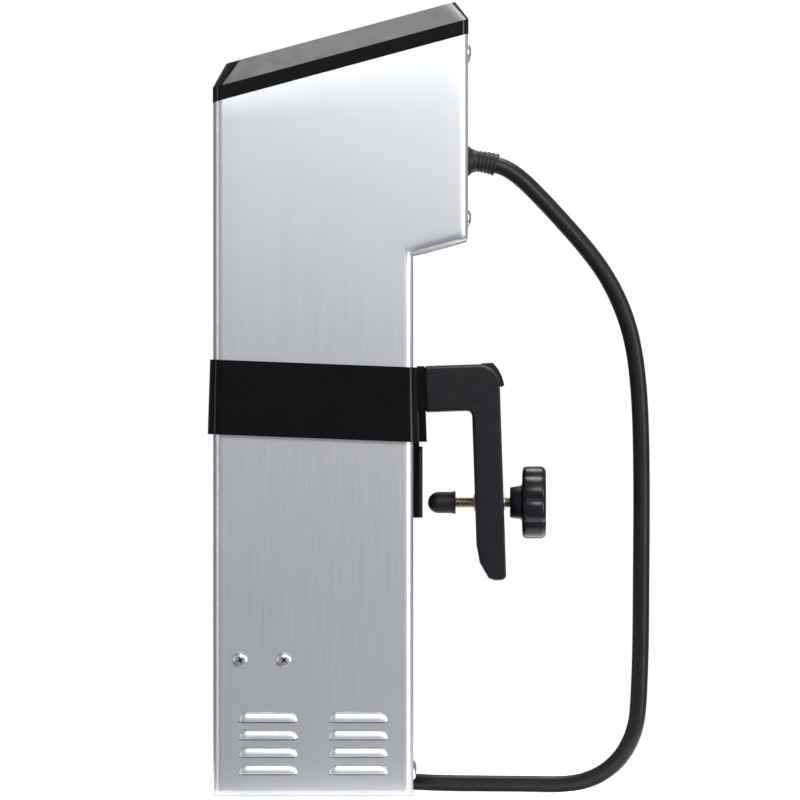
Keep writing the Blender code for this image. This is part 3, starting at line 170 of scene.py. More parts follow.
def turned(profile, origin, axis, steps=32):
    """Surface of revolution: origin + along * axis + radius * (cos t * side + sin t * up), t once round."""
    profile = np.asarray(profile, float)
    axis = np.asarray(axis, float)
    side = np.cross(axis, Z if abs(axis[2]) < 0.9 else X)
    side /= np.linalg.norm(side)
    up = np.cross(axis, side)
    angle = around(steps)
    spokes = np.cos(angle)[:, None] * side + np.sin(angle)[:, None] * up
    along, radius = profile[:, 0, None, None], profile[:, 1, None, None]
    return skin(np.asarray(origin, float) + along * axis + radius * spokes)


def rounded_rectangle(width, height, corner, steps=6):
    """Outline of (x, y): a quarter circle about each corner's centre, joined by straights."""
    quarter = np.linspace(0, math.pi / 2, steps)
    angle = (quarter[None] + np.arange(4)[:, None] * math.pi / 2).ravel()
    sign = np.repeat([[1, 1], [-1, 1], [-1, -1], [1, -1]], steps, 0)
    centre = np.array([width / 2 - corner, height / 2 - corner])
    return sign * centre + corner * np.stack([np.cos(angle), np.sin(angle)], -1)


def smooth_through(points, spacing):
    """Points evenly spaced along the natural cubic spline that passes through all the given ones."""
    points = np.asarray(points, float)
    knots = np.concatenate([[0], np.cumsum(np.linalg.norm(np.diff(points, axis=0), axis=1))])
    gap = np.diff(knots)
    slope = np.diff(points, axis=0) / gap[:, None]
    count = len(points)
    system = np.eye(count)
    inner = np.arange(1, count - 1)
    system[inner, inner - 1], system[inner, inner], system[inner, inner + 1] = (
        gap[:-1], 2 * (gap[:-1] + gap[1:]), gap[1:])
    right = np.zeros_like(points)
    right[1:-1] = 6 * np.diff(slope, axis=0)
    bend = np.linalg.solve(system, right)
    place = np.linspace(0, knots[-1], 40 * count)
    part = np.clip(np.searchsorted(knots, place, side="right") - 1, 0, count - 2)
    h = gap[part, None]
    a, b = (knots[part + 1] - place)[:, None] / h, (place - knots[part])[:, None] / h
    fine = a * points[part] + b * points[part + 1] + (
        (a ** 3 - a) * bend[part] + (b ** 3 - b) * bend[part + 1]) * h ** 2 / 6
    return evenly(fine, spacing)


def evenly(line, spacing):
    """Points at equal lengths along a line of many points."""
    run = np.concatenate([[0], np.cumsum(np.linalg.norm(np.diff(line, axis=0), axis=1))])
    at = np.linspace(0, run[-1], max(2, round(run[-1] / spacing) + 1))
    return np.stack([np.interp(at, run, line[:, axis]) for axis in range(3)], -1)


def tube(path, radius, steps=16, reference=(0.0, 0.6, 0.8)):
    """Round section along a path: path + radius * (cos t * n + sin t * b).

    n is the reference direction less its part along the path's tangent, and b is square to both.
    """
    tangent = np.gradient(path, axis=0)
    tangent /= np.linalg.norm(tangent, axis=1, keepdims=True)
    reference = np.asarray(reference, float)
    normal = reference - (tangent @ reference)[:, None] * tangent
    normal /= np.linalg.norm(normal, axis=1, keepdims=True)
    other = np.cross(tangent, normal)
    angle = around(steps)[None, :, None]
    radius = np.broadcast_to(np.asarray(radius, float), len(path))[:, None, None]
    return skin(path[:, None] + radius * (np.cos(angle) * normal[:, None] + np.sin(angle) * other[:, None]))


def joined(shapes):
    """One point array and one face list out of several surfaces."""
    points, faces, start = [], [], 0
    for part, quads, triangles in shapes:
        points.append(part)
        faces += [*(quads + start).tolist(), *(triangles + start).tolist()]
        start += len(part)
    return np.concatenate(points), faces


def add_piece(name, shapes, finish, body, nodes=(), sharp=38):
    """Makes an object at the origin, smooth except at edges sharper than the angle, that rides on a body.
    """
    points, faces = joined(shapes)
    mesh = bpy.data.meshes.new(name)
    mesh.from_pydata(points.tolist(), [], faces)
    return put_in(name, mesh, finish, body, nodes, sharp)


def put_in(name, mesh, finish, body, nodes, sharp):
    mesh.polygons.foreach_set("use_smooth", np.ones(len(mesh.polygons), bool))
    mesh.set_sharp_from_angle(angle=math.radians(sharp))
    mesh.materials.append(FINISHES[finish])
    piece = bpy.data.objects.new(name, mesh)
    bpy.context.scene.collection.objects.link(piece)
    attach(piece, body)
    if nodes:
        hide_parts(*nodes)
    return piece


def softened(name, node, width, finish, body):
    """A node's own solid with its edges sharper than 30 degrees rounded to the width, as moulded or cast."""
    form = bmesh.new()
    form.from_mesh(frame["nodes"][node].data)
    bmesh.ops.remove_doubles(form, verts=form.verts, dist=1e-6)
    bmesh.ops.dissolve_limit(form, angle_limit=math.radians(0.4), verts=form.verts, edges=form.edges)
    mesh = bpy.data.meshes.new(name)
    form.to_mesh(mesh)
    form.free()
    piece = put_in(name, mesh, finish, body, (node,), 180)
    bevel = piece.modifiers.new("rounded", "BEVEL")
    bevel.width = width
    bevel.segments = 3
    bevel.limit_method = "ANGLE"
    bevel.angle_limit = math.radians(30)
    piece.modifiers.new("even_shading", "WEIGHTED_NORMAL")
    return piece


def move_along_x(piece, shift):
    """Moves every point of a piece along X by shift(x), where x holds all the points' places along X."""
    points = np.empty(3 * len(piece.data.vertices))
    piece.data.vertices.foreach_get("co", points)
    points[::3] += shift(points[::3])
    piece.data.vertices.foreach_set("co", points)


# ---------------------------------------------------------------- finishes
class Finish:
    """A Principled material whose colour, roughness and bump come from patterns on Object coordinates."""

    def __init__(self, name, colour, roughness, metallic=0.0, coat=0.0, gloss=0.5):
        self.material = bpy.data.materials.new(name)
        self.material.use_nodes = True
        self.tree = self.material.node_tree
        self.shader = self.tree.nodes["Principled BSDF"]
        self.shader.inputs["Metallic"].default_value = metallic
        self.shader.inputs["Coat Weight"].default_value = coat
        self.shader.inputs["Coat Roughness"].default_value = 0.05
        self.shader.inputs["Specular IOR Level"].default_value = gloss
        self.shader.inputs["Roughness"].default_value = roughness
        self.shader.inputs["Base Color"].default_value = (*colour, 1)
        self.colour, self.roughness = colour, roughness
        self.place = self.tree.nodes.new("ShaderNodeTexCoord")
        self.bump_before = None

    def noise(self, scale, stretch=(1, 1, 1), detail=3.0):
        """A noise whose grains are 1/scale long, stretched along the axes."""
        mapping = self.tree.nodes.new("ShaderNodeMapping")
        mapping.inputs["Scale"].default_value = stretch
        self.tree.links.new(self.place.outputs["Object"], mapping.inputs["Vector"])
        noise = self.tree.nodes.new("ShaderNodeTexNoise")
        noise.inputs["Scale"].default_value = scale
        noise.inputs["Detail"].default_value = detail
        self.tree.links.new(mapping.outputs["Vector"], noise.inputs["Vector"])
        return noise.outputs["Fac"]

    def shade(self, pattern, amount):
        """Lets the colour swing about its own value by the amount, as a share of it."""
        ramp = self.tree.nodes.new("ShaderNodeMix")
        ramp.data_type = "RGBA"
        ramp.inputs["A"].default_value = (*(c * (1 - amount) for c in self.colour), 1)
        ramp.inputs["B"].default_value = (*(min(1, c * (1 + amount)) for c in self.colour), 1)
        self.tree.links.new(self.spread(pattern, 0, 1), ramp.inputs["Factor"])
        self.tree.links.new(ramp.outputs["Result"], self.shader.inputs["Base Color"])
        return self

    def spread(self, pattern, low, high):
        """Maps a noise, which keeps near 0.5, to the whole range from low to high."""
        span = self.tree.nodes.new("ShaderNodeMapRange")
        span.inputs["From Min"].default_value = 0.3
        span.inputs["From Max"].default_value = 0.7
        span.inputs["To Min"].default_value = low
        span.inputs["To Max"].default_value = high
        self.tree.links.new(pattern, span.inputs["Value"])
        return span.outputs["Result"]

    def polish(self, pattern, swing):
        """Lets the roughness swing about its own value."""
        value = self.spread(pattern, max(0.02, self.roughness - swing), self.roughness + swing)
        self.tree.links.new(value, self.shader.inputs["Roughness"])
        return self

    def bump(self, pattern, depth):
        """Raises the surface by the pattern, in metres."""
        bump = self.tree.nodes.new("ShaderNodeBump")
        bump.inputs["Distance"].default_value = depth
        bump.inputs["Strength"].default_value = 1.0
        self.tree.links.new(pattern, bump.inputs["Height"])
        if self.bump_before:
            self.tree.links.new(self.bump_before, bump.inputs["Normal"])
        self.bump_before = bump.outputs["Normal"]
        self.tree.links.new(self.bump_before, self.shader.inputs["Normal"])
        return self


def brushed(name, colour, roughness, grain=(1, 1, 0.02)):
    """Steel with fine lines along one axis: the noise is long where its stretch is small."""
    finish = Finish(name, colour, roughness, metallic=1.0)
    lines = finish.noise(2400, grain, 2)
    finish.shade(finish.noise(7, detail=4), 0.05)
    finish.polish(lines, 0.025)
    finish.bump(lines, 0.000003)
    finish.shader.inputs["Anisotropic"].default_value = 0.35
    return finish


def moulded(name, colour, roughness, grain, depth, coat=0.0, gloss=0.5):
    """Plastic or rubber: slow colour drift, a fine moulded grain and a slightly uneven polish."""
    finish = Finish(name, colour, roughness, coat=coat, gloss=gloss)
    finish.shade(finish.noise(30, detail=4), 0.25)
    finish.polish(finish.noise(140, detail=5), 0.05)
    finish.bump(finish.noise(grain, detail=3), depth)
    return finish


def make_finishes():
    """One finish for each of the record's material slots, and a few for single pieces."""
    tone = colours()
    made = {
        "case_steel": brushed("brushed_case_steel", tone.steel, 0.38),
        "bright_steel": brushed("bright_screw_steel", tone.bright, 0.30, (1, 1, 1)),
        "heater_steel": brushed("heater_tube_steel", tone.bright, 0.30, (0.3, 0.3, 0.3)),
        "gloss_black": moulded("gloss_black_plastic", tone.gloss, 0.14, 1800, 0.000002, gloss=0.22),
        "collar_black": moulded("collar_plastic", tone.gloss, 0.16, 1800, 0.000002, gloss=0.14),
        # painted shade: a dark steel for the bars that stand in the screws' cross recesses, where their shade
        # falls
        "painted_recess_shade": brushed("recess_painted_shade_steel", (0.10, 0.10, 0.10), 0.45, (1, 1, 1)),
        "thread_steel": brushed("thread_steel", (0.36, 0.31, 0.25), 0.34, (1, 1, 1)),
        "satin_black": moulded("satin_black_coating", tone.satin, 0.32, 2600, 0.000006, gloss=0.30),
        "rubber_black": moulded("black_rubber", tone.rubber, 0.50, 1500, 0.00001, gloss=0.30),
        "cord_rubber": moulded("cord_sheath_rubber", tone.rubber, 0.40, 900, 0.000004, gloss=0.25),
        "lens_dark": moulded("display_lens", tone.lens, 0.05, 300, 0.000002, coat=1.0),
        "key_grey": moulded("key_rubber", tone.keys, 0.50, 2000, 0.00002),
        "board_green": moulded("board_lacquer", tone.board, 0.35, 500, 0.00003, coat=0.3),
        "aluminium": brushed("aluminium_sheet", (0.78, 0.79, 0.80), 0.38, (0.02, 1, 1)),
        "inner_plastic": moulded("inner_plastic", (0.55, 0.54, 0.50), 0.48, 1200, 0.00003),
        "brass": brushed("pin_brass", tone.brass, 0.26, (1, 0.05, 1)),
    }
    return {slot: finish.material for slot, finish in made.items()}


FINISHES = {}


# ---------------------------------------------------------------- stage
CAMERA_TARGET = Vector((0.0414, 0.0, 0.1891))
CAMERA_DISTANCE = 8
CAMERA_SENSOR = 36      # millimetres, as is the lens
VIEW_WIDTH = 0.384      # of what the camera sees at its target
FLOOR_RADIUS = 0.28
FLOOR_CENTRE = (0.04, 0.20)
ROOM_LIGHT = {"X": (0.06, 0.26), "Y": (0.29, 0.02), "Z": (0.00, 0.10)}   # share from each axis, - and + end
LIGHTS = (              # name, place, aim, size, power, seen in reflections
    ("softbox_above", (0.05, -0.1, 1.6), (0.05, 0, 0), (1.5, 1.2), 34, False),
    ("softbox_front", (0.28, -1.0, 0.72), (0.03, 0, 0.28), (0.45, 0.40), 8, True),
    ("softbox_behind", (0.05, 0.25, 1.3), (0.05, 0, 0.3), (0.8, 0.8), 20, True),
    ("strip_left", (-1.1, -0.5, 0.3), (0, 0, 0.2), (0.2, 1.0), 2.2, True),
    ("strip_right", (0.9, -0.5, 0.25), (0, 0, 0.2), (0.25, 0.8), 5, True),
)


class CIRCULATOR_OT_stage(bpy.types.Operator):
    """Floor, studio lights and camera"""
    bl_idname = "circulator.stage"
    bl_label = "Stage"

    def execute(self, context):
        scene = context.scene
        camera = bpy.data.objects.new("camera", bpy.data.cameras.new("camera"))
        camera.data.sensor_width = CAMERA_SENSOR
        camera.data.lens = CAMERA_SENSOR * CAMERA_DISTANCE / VIEW_WIDTH
        camera.data.clip_end = 50
        camera.location = CAMERA_TARGET + Vector((0, -CAMERA_DISTANCE, 0))
        camera.rotation_euler = (math.pi / 2, 0, 0)
        scene.collection.objects.link(camera)
        scene.camera = camera

        scene.world = studio_world()
        scene.view_settings.view_transform = "Standard"
        for light in LIGHTS:
            soft_light(*light)

        floor = floor_disc(FLOOR_RADIUS, FLOOR_CENTRE)
        finish = Finish("studio_floor", colours().floor, 0.6)
        finish.shade(finish.noise(3, detail=2), 0.01)
        finish.shader.inputs["Emission Color"].default_value = (1, 1, 1, 1)
        finish.shader.inputs["Emission Strength"].default_value = 0.10
        mesh = bpy.data.meshes.new("floor")
        mesh.from_pydata(floor.tolist(), [], [list(range(len(floor)))])
        mesh.materials.append(finish.material)
        stage = bpy.data.objects.new("floor", mesh)
        scene.collection.objects.link(stage)
        return {"FINISHED"}


def studio_world():
    """Plain white where it is seen straight. As light, a grey room, brighter towards +X, front and top."""
    world = bpy.data.worlds.new("studio")
    world.use_nodes = True
    tree = world.node_tree
    make, join = tree.nodes.new, tree.links.new
    room, out = tree.nodes["Background"], tree.nodes["World Output"]
    place, split = make("ShaderNodeTexCoord"), make("ShaderNodeSeparateXYZ")
    join(place.outputs["Generated"], split.inputs["Vector"])
    shares = []
    for axis, (low, high) in ROOM_LIGHT.items():
        span = make("ShaderNodeMapRange")
        span.inputs["From Min"].default_value = -1
        span.inputs["To Min"].default_value = low
        span.inputs["To Max"].default_value = high
        join(split.outputs[axis], span.inputs["Value"])
        shares.append(span.outputs["Result"])
    total = shares[0]
    for part in shares[1:]:
        add = make("ShaderNodeMath")
        join(total, add.inputs[0])
        join(part, add.inputs[1])
        total = add.outputs["Value"]
    room.inputs["Color"].default_value = (0.96, 0.98, 1.0, 1)
    join(total, room.inputs["Strength"])
    seen, ray, mix = make("ShaderNodeBackground"), make("ShaderNodeLightPath"), make("ShaderNodeMixShader")
    seen.inputs["Color"].default_value = (1, 1, 1, 1)
    join(ray.outputs["Is Camera Ray"], mix.inputs["Fac"])
    join(room.outputs["Background"], mix.inputs[1])
    join(seen.outputs["Background"], mix.inputs[2])
    join(mix.outputs["Shader"], out.inputs["Surface"])
    return world


def floor_disc(radius, centre):
    """Circle of points at the floor's height, centre + radius * (cos t, sin t)."""
    angle = around(96)
    x, y = centre[0] + radius * np.cos(angle), centre[1] + radius * np.sin(angle)
    return np.stack([x, y, np.zeros_like(angle)], -1)


def soft_light(name, place, aim, size, power, reflected):
    light = bpy.data.lights.new(name, "AREA")
    light.shape = "RECTANGLE"
    light.size, light.size_y = size
    light.energy = power
    lamp = bpy.data.objects.new(name, light)
    lamp.location = place
    lamp.rotation_euler = (Vector(aim) - Vector(place)).to_track_quat("-Z", "Y").to_euler()
    lamp.visible_glossy = reflected
    bpy.context.scene.collection.objects.link(lamp)


# ---------------------------------------------------------------- cord
CORD_ROUTE = np.array((  # x is from the case's back at the head, here and in the next
    (0.0161, 0.0000, 0.3015), (0.0190, 0.0000, 0.3004), (0.0225, 0.0000, 0.2984), (0.0270, 0.0000, 0.2950),
    (0.0320, 0.0000, 0.2903), (0.0392, 0.0000, 0.2829), (0.0468, 0.0000, 0.2746), (0.0545, 0.0000, 0.2659),
    (0.0617, 0.0003, 0.2570), (0.0684, 0.0008, 0.2470), (0.0742, 0.0015, 0.2355), (0.0789, 0.0024, 0.2220),
    (0.0821, 0.0033, 0.2050), (0.0838, 0.0042, 0.1850), (0.0845, 0.0050, 0.1600), (0.0846, 0.0057, 0.1300),
    (0.0844, 0.0063, 0.1000), (0.0841, 0.0070, 0.0700), (0.0833, 0.0078, 0.0470), (0.0813, 0.0087, 0.0310),
    (0.0749, 0.0115, 0.0180), (0.0654, 0.0155, 0.0094), (0.0564, 0.0193, 0.0057), (0.0466, 0.0234, 0.0043),
    (0.0332, 0.0291, 0.0042), (0.0182, 0.0354, 0.0042), (0.0042, 0.0414, 0.0042), (-0.0083, 0.0473, 0.0042),
    (-0.0193, 0.0540, 0.0044), (-0.0274, 0.0620, 0.0047), (-0.0319, 0.0687, 0.0050)))
TAIL_ROUTE = np.array((
    (-0.0622, 0.1925, 0.0275), (-0.0728, 0.1934, 0.0252), (-0.0818, 0.1915, 0.0219),
    (-0.0908, 0.1863, 0.0182), (-0.0983, 0.1782, 0.0146), (-0.1026, 0.1690, 0.0119),
    (-0.1043, 0.1580, 0.0104), (-0.1046, 0.1470, 0.0103), (-0.1046, 0.1360, 0.0113),
    (-0.1046, 0.1260, 0.0120)))
HANK_AHEAD = 0.0608     # from the case's back at the head forward to the middle of the hank's folds
HANK_ENDS = (0.086, 0.160)
HANK_FOLD = 0.024
HANK_START = 0.0056     # height of the first turn's start
HANK_TURNS = 3
WIDE_FOLD = 0.0335      # the last fold, outside the others, down to the plug
WIDE_FOLD_AHEAD = 0.0703
CORD_SPACING = 0.0022
OUTLET_HEIGHT = 0.3038
IN_RELIEF = ((0.0040, 0, OUTLET_HEIGHT), (0.0100, 0, 0.3031))   # the cord's way through the strain relief
RELIEF_FALL = 12.035    # the sleeve's centre sinks by this times a distance squared, in metres
RELIEF_RIBS = (0.0050, 0.0140)
RELIEF_RIB_PITCH = 0.0018
TIE_CORNER = 0.0040
TIE_SAG = 0.0008
PLUG_GRIP = (0.20, 0.42)    # shares of the plug's length, from its pins
PLUG_BOOT = 0.67            # where the boot's ribs start, as such a share
PLUG_RIB_PITCH = 0.055
BOOT_RIB_DEPTH = 0.0010
GRIP_RIB_DEPTH = 0.0008
PLUG_CORNER = 0.0055
BOOT_CORNER = 0.46          # share of the boot's smaller side


def from_head(route):
    """A route moved back to the case's back at the head."""
    return np.asarray(route) + X * corners("main_case")[1][0]


def hank_turns():
    """Runs and half circles of the hank, rising a cord's diameter a turn, then the run to the last fold."""
    near, far = HANK_ENDS
    run = np.linspace(0, 1, 9)[:-1, None]
    bend = np.linspace(0, math.pi, 17)[:-1]
    circle = np.stack([np.cos(bend), np.sin(bend)], -1) * HANK_FOLD
    out = np.hstack([np.full_like(run, HANK_FOLD), near + run * (far - near)])
    back = np.hstack([np.full_like(run, -HANK_FOLD), far + run * (near - far)])
    flat = np.concatenate([*([out, circle + [0, far], back, [0, near] - circle] * HANK_TURNS), out])
    gone = np.concatenate([[0], np.cumsum(np.linalg.norm(np.diff(flat, axis=0), axis=1))])
    turn = 2 * (far - near) + 2 * math.pi * HANK_FOLD
    return np.column_stack([flat, HANK_START + sizes().cord * gone / turn]) - HANK_AHEAD * X


def last_fold(start_height):
    """Wide turn that sinks from the hank's top: its fall grows as (share of the turn) ** 3.5."""
    centre = np.array([-WIDE_FOLD_AHEAD, HANK_ENDS[1]])
    first = TAIL_ROUTE[0]
    end = math.atan2(first[1] - centre[1], first[0] - centre[0])
    part = np.linspace(0, 1, 12)[:-1]
    flat = centre + WIDE_FOLD * np.stack([np.cos(end * part), np.sin(end * part)], -1)
    return np.column_stack([flat, start_height - (start_height - first[2]) * part ** 3.5])


def cord_path():
    hank = hank_turns()
    whole = np.concatenate([IN_RELIEF, CORD_ROUTE, hank, last_fold(hank[-1, 2] + 0.0002), TAIL_ROUTE])
    return smooth_through(from_head(whole), CORD_SPACING)


def relief_shape():
    """Sleeve round the cord's way out: its centre sinks with the square of the distance past its flange.

    Shallow grooves, radius - depth * (1 - cos(2 pi d / pitch)) / 2, run round the outside.
    """
    case_back = corners("main_case")[1][0]
    behind = np.array((-0.0066, -0.0064, -0.0028, -0.0026, -0.0012, -0.0010, 0.0016, 0.0020, 0.0028, 0.0034,
                       0.0048, 0.0072, 0.0094, 0.0122, 0.0146, 0.0149, 0.0150))
    radius = np.array((0.0062, 0.0074, 0.0074, 0.0055, 0.0055, 0.0071, 0.0071, 0.0068, 0.0060, 0.0057,
                       0.0052, 0.0051, 0.0052, 0.0053, 0.0054, 0.0052, 0.0046))
    along = np.unique(np.concatenate([behind, np.linspace(0.0048, 0.0142, 60)]))
    size = np.interp(along, behind, radius)
    first, last = RELIEF_RIBS
    wave = 1 - np.cos(2 * math.pi * (along - first) / RELIEF_RIB_PITCH)
    size = size - ((along > first) & (along < last)) * sizes().relief_rib * wave / 2
    sunk = np.maximum(0, along - 0.0022)
    path = np.stack([case_back + along, np.zeros_like(along), OUTLET_HEIGHT - RELIEF_FALL * sunk ** 2], -1)
    return tube(path, size, 32, (0, 1, 0))


def tie_shape():
    """Flat band round the hank: four outlines, inside and outside at both edges, joined into a loop."""
    low, high = corners("cord_tie")
    centre = (low + high) / 2
    wide, deep, tall = high - low
    rings = []
    for along, inset in ((-0.5, 0.0011), (-0.5, 0.0003), (-0.44, 0), (0.44, 0), (0.5, 0.0003), (0.5, 0.0011)):
        outline = rounded_rectangle(wide - 2 * inset, tall - 2 * inset, TIE_CORNER - inset, 7)
        sag = TIE_SAG * np.cos(math.pi * outline[:, 0] / wide) * np.sign(outline[:, 1])
        rings.append(np.stack([centre[0] + outline[:, 0], np.full(len(outline), centre[1] + along * deep),
                               centre[2] + outline[:, 1] - sag * (outline[:, 1] > 0)], -1))
    return skin(np.array(rings), loop=True)


def plug_shape():
    """Rounded-rectangle sections along the plug: a waisted body with finger grooves, then a ribbed boot."""
    low, high = corners("plug_body")
    middle_x, middle_z = (low[0] + high[0]) / 2, (low[2] + high[2]) / 2
    wide, tall = high[0] - low[0], high[2] - low[2]
    start, end = low[1], high[1]
    share_of = np.array((0, 0.012, 0.03, 0.16, 0.20, 0.30, 0.40, 0.48, 0.56, 0.63, 0.66, 1.0))
    width = np.array((0.94, 0.985, 1, 1, 0.98, 0.93, 0.93, 0.86, 0.72, 0.56, 0.48, 0.40)) * wide
    height = np.array((0.94, 0.985, 1, 1, 0.97, 0.90, 0.88, 0.80, 0.68, 0.55, 0.49, 0.415)) * tall
    along = np.unique(np.concatenate([share_of, np.linspace(0.66, 0.985, 60), np.linspace(0.2, 0.42, 30)]))
    w, h = np.interp(along, share_of, width), np.interp(along, share_of, height)
    wave = 1 - np.cos(2 * math.pi * (along - PLUG_BOOT) / PLUG_RIB_PITCH)
    rib = (along > PLUG_BOOT) * BOOT_RIB_DEPTH * wave / 2
    wave = 1 - np.cos(2 * math.pi * (along - PLUG_GRIP[0]) / PLUG_RIB_PITCH)
    grip = ((along > PLUG_GRIP[0]) & (along < PLUG_GRIP[1])) * GRIP_RIB_DEPTH * wave / 2
    w, h = w - rib - grip, h - rib
    rings = []
    for y, a, b in zip(start + along * (end - start), w, h):
        in_boot = y > (start + end) / 2
        outline = rounded_rectangle(a, b, BOOT_CORNER * min(a, b) if in_boot else PLUG_CORNER)
        places = [middle_x + outline[:, 0], np.full(len(outline), y), middle_z + outline[:, 1]]
        rings.append(np.stack(places, -1))
    return skin(np.array(rings))


class CIRCULATOR_OT_cord(bpy.types.Operator):
    """Mains cord with its strain relief, hank, tie and plug"""
    bl_idname = "circulator.cord"
    bl_label = "Mains cord"

    def execute(self, context):
        path = cord_path()
        cord = add_piece("mains_cord", [tube(path, sizes().cord / 2)], "cord_rubber", "case",
                         ("power_cord", "cord_hank", "cord_tail"))
        add_piece("cord_relief", [relief_shape()], "rubber_black", "case", ("strain_relief",))
        tie = add_piece("hank_tie", [tie_shape()], "satin_black", "case", ("cord_tie",))
        plug = add_piece("plug_grip", [plug_shape()], "rubber_black", "case", ("plug_body",))
        return {"FINISHED"}


# ---------------------------------------------------------------- case
def louvre_lips():
    size = sizes()
    return size.louvre_first + size.louvre_pitch * np.arange(4)


def louvre_middles(front, back):
    return np.array([front + sizes().louvre_inset, back - sizes().louvre_inset])


def hood(x, z, front, back):
    """How far the case's side stands out at (x, z): a quarter ellipsoid over each louvre.

    With p the length of (distance into the rounded end, height above the lip), each as a share of its
    full size, a hood rises by sqrt(1 - p * p) of its full height.
    """
    size = sizes()
    rise = np.zeros(np.broadcast(x, z).shape)
    for centre in louvre_middles(front, back):
        end = np.maximum(0, np.abs(x - centre) - (size.louvre_length / 2 - size.louvre_end)) / size.louvre_end
        for lip in louvre_lips():
            up = (z - lip) / size.louvre_rise
            inside = np.maximum(0, 1 - end ** 2 - np.maximum(0, up) ** 2)
            rise = np.maximum(rise, np.where(up >= 0, np.sqrt(inside), 0))
    return rise * size.louvre_hood


def case_rows(points):
    """Path up the back edge, its inward mitre, and the height on the front edge for every row of the case."""
    size = sizes()
    front, head = points[:, 0].min(), points[:, 0].max()
    back = points[points[:, 2] < 0.1][:, 0].max()
    bottom = points[:, 2].min()
    slope = math.tan(size.head_slope)
    under_head = points[points[:, 0] > head - 1e-4][:, 2].min()
    neck = under_head - (head - back) * slope
    top = points[:, 2].max()
    front_top = top - (head - front) * slope
    levels = [bottom, bottom + 0.003, 0.050, 0.058, 0.072, 0.10, 0.14, 0.18, 0.22, neck - 0.012, neck - 0.005]
    for lip in louvre_lips():
        levels += [lip - 0.0005, lip - 2e-5, lip, lip + size.louvre_rise + 0.0004]
        levels += [*(lip + size.louvre_rise * np.sin(np.linspace(0.12, math.pi / 2, 9)))]
    levels = np.array(sorted(levels))
    lower = np.stack([np.full(len(levels), back), levels], -1)
    corner = np.array([math.cos(size.head_slope), math.sin(size.head_slope)])
    under = np.array([[back, neck], *([back, neck] + corner * step for step in (0.004, 0.010, 0.016, 0.022)),
                      [head, under_head]])
    rear = np.array([[head, under_head + step] for step in (0.005, 0.012, 0.03, 0.06)] + [[head, top]])
    path = np.concatenate([lower, under, rear])
    straight, lean = np.array([-1.0, 0.0]), np.array([-corner[1], corner[0]])
    mitre = (straight + lean) / (1 + straight @ lean)
    inward = np.array([straight] * len(lower) + [mitre] + [lean] * 4 + [mitre] + [straight] * 5)
    front_heights = np.concatenate([levels, neck + np.array((0.001, 0.004, 0.009, 0.014, 0.019, 0.024)),
                                    np.linspace(neck + 0.029, front_top, 5)])
    return path, inward, front_heights, front, back


def case_columns(front, back):
    """Places along the side, closer together over the hoods' rounded ends."""
    size = sizes()
    half, end = size.louvre_length / 2, size.louvre_end
    over = half - end + end * np.append(np.sin(np.linspace(0, math.pi / 2, 9)), 1.12)
    places = [centre + side * over for centre in louvre_middles(front, back) for side in (-1, 1)]
    places += [[centre] for centre in louvre_middles(front, back)]
    places += [[front + size.fold, (front + back) / 2, back - size.fold]]
    return np.unique(np.concatenate(places).round(7))[::-1]


def case_side(points, side):
    """Grid of one side, from the back flange's edge round its fold and along to the front fold's end.

    Round a fold of radius r, a point lies r - r cos a in from the edge and r - r sin a in from the side.
    """
    size = sizes()
    path, inward, front_heights, front, back = case_rows(points)
    half = points[:, 1].max()
    turn = np.radians(np.arange(15, 91, 15))
    depth = size.fold * (1 - np.cos(turn))
    level = half - size.fold * (1 - np.sin(turn))
    rows = len(path)

    def at(xz, y):
        across = np.broadcast_to(side * y, xz.shape[:-1])[..., None]
        return np.concatenate([xz[..., :1], across, xz[..., 1:]], -1)

    flange = at(np.stack([path, path], 1), np.array([half - size.flange, half - size.fold]))
    back_fold = at(path[:, None] + depth[:, None] * inward[:, None], level)
    along = case_columns(front, back)[1:-1]
    share_of = (along - (back - size.fold)) / (front - back + 2 * size.fold)
    start = path + size.fold * inward
    end = np.stack([np.full(rows, front + size.fold), front_heights], -1)
    face = at(start[:, None] + share_of[:, None] * (end - start)[:, None], half)
    face[..., 1] += side * hood(face[..., 0], face[..., 2], front, back)
    fold_x = np.broadcast_to(front + size.fold * (1 - np.cos(turn[::-1])), (rows, len(turn)))
    fold_z = np.broadcast_to(front_heights[:, None], fold_x.shape)
    front_fold = at(np.stack([fold_x, fold_z], -1), level[::-1])
    return np.concatenate([flange, back_fold, face, front_fold], 1)


def case_shape():
    """Both sides and the front between them as one grid, without the faces that close the louvres' slits."""
    points = node_points("main_case")
    near, far = case_side(points, -1), case_side(points, 1)
    across = np.linspace(-1, 1, 7)[None, :, None]
    edge = points[:, 1].max() - sizes().fold
    front = np.repeat(near[:, -1:] * [0, 0, 1] + [points[:, 0].min(), 0, 0], 7, 1)
    front = front + across * [0, edge, 0]
    rings = np.concatenate([near, front, far[:, ::-1]], 1)
    rows, columns = rings.shape[:2]
    index = np.arange(rows * columns).reshape(rows, columns)
    quads = np.stack([index[:-1, :-1], index[:-1, 1:], index[1:, 1:], index[1:, :-1]], -1)
    step = np.abs(rings[1:, :, 1] - rings[:-1, :, 1])
    flat = (rings[1:, :, 2] - rings[:-1, :, 2]) < 1e-4
    slit = flat & (step > 0.00012)
    open_quads = slit[:, :-1] & slit[:, 1:]
    return rings.reshape(-1, 3), quads[~open_quads], np.empty((0, 3), int)


class CIRCULATOR_OT_case(bpy.types.Operator):
    """Folded steel case with its pressed louvres"""
    bl_idname = "circulator.case"
    bl_label = "Case"

    def execute(self, context):
        case = add_piece("case_shell", [case_shape()], "case_steel", "case", ("main_case",), sharp=50)
        wall = case.modifiers.new("wall", "SOLIDIFY")
        wall.thickness = sizes().sheet
        wall.offset = -1
        case.modifiers.new("even_shading", "WEIGHTED_NORMAL").keep_sharp = True
        return {"FINISHED"}


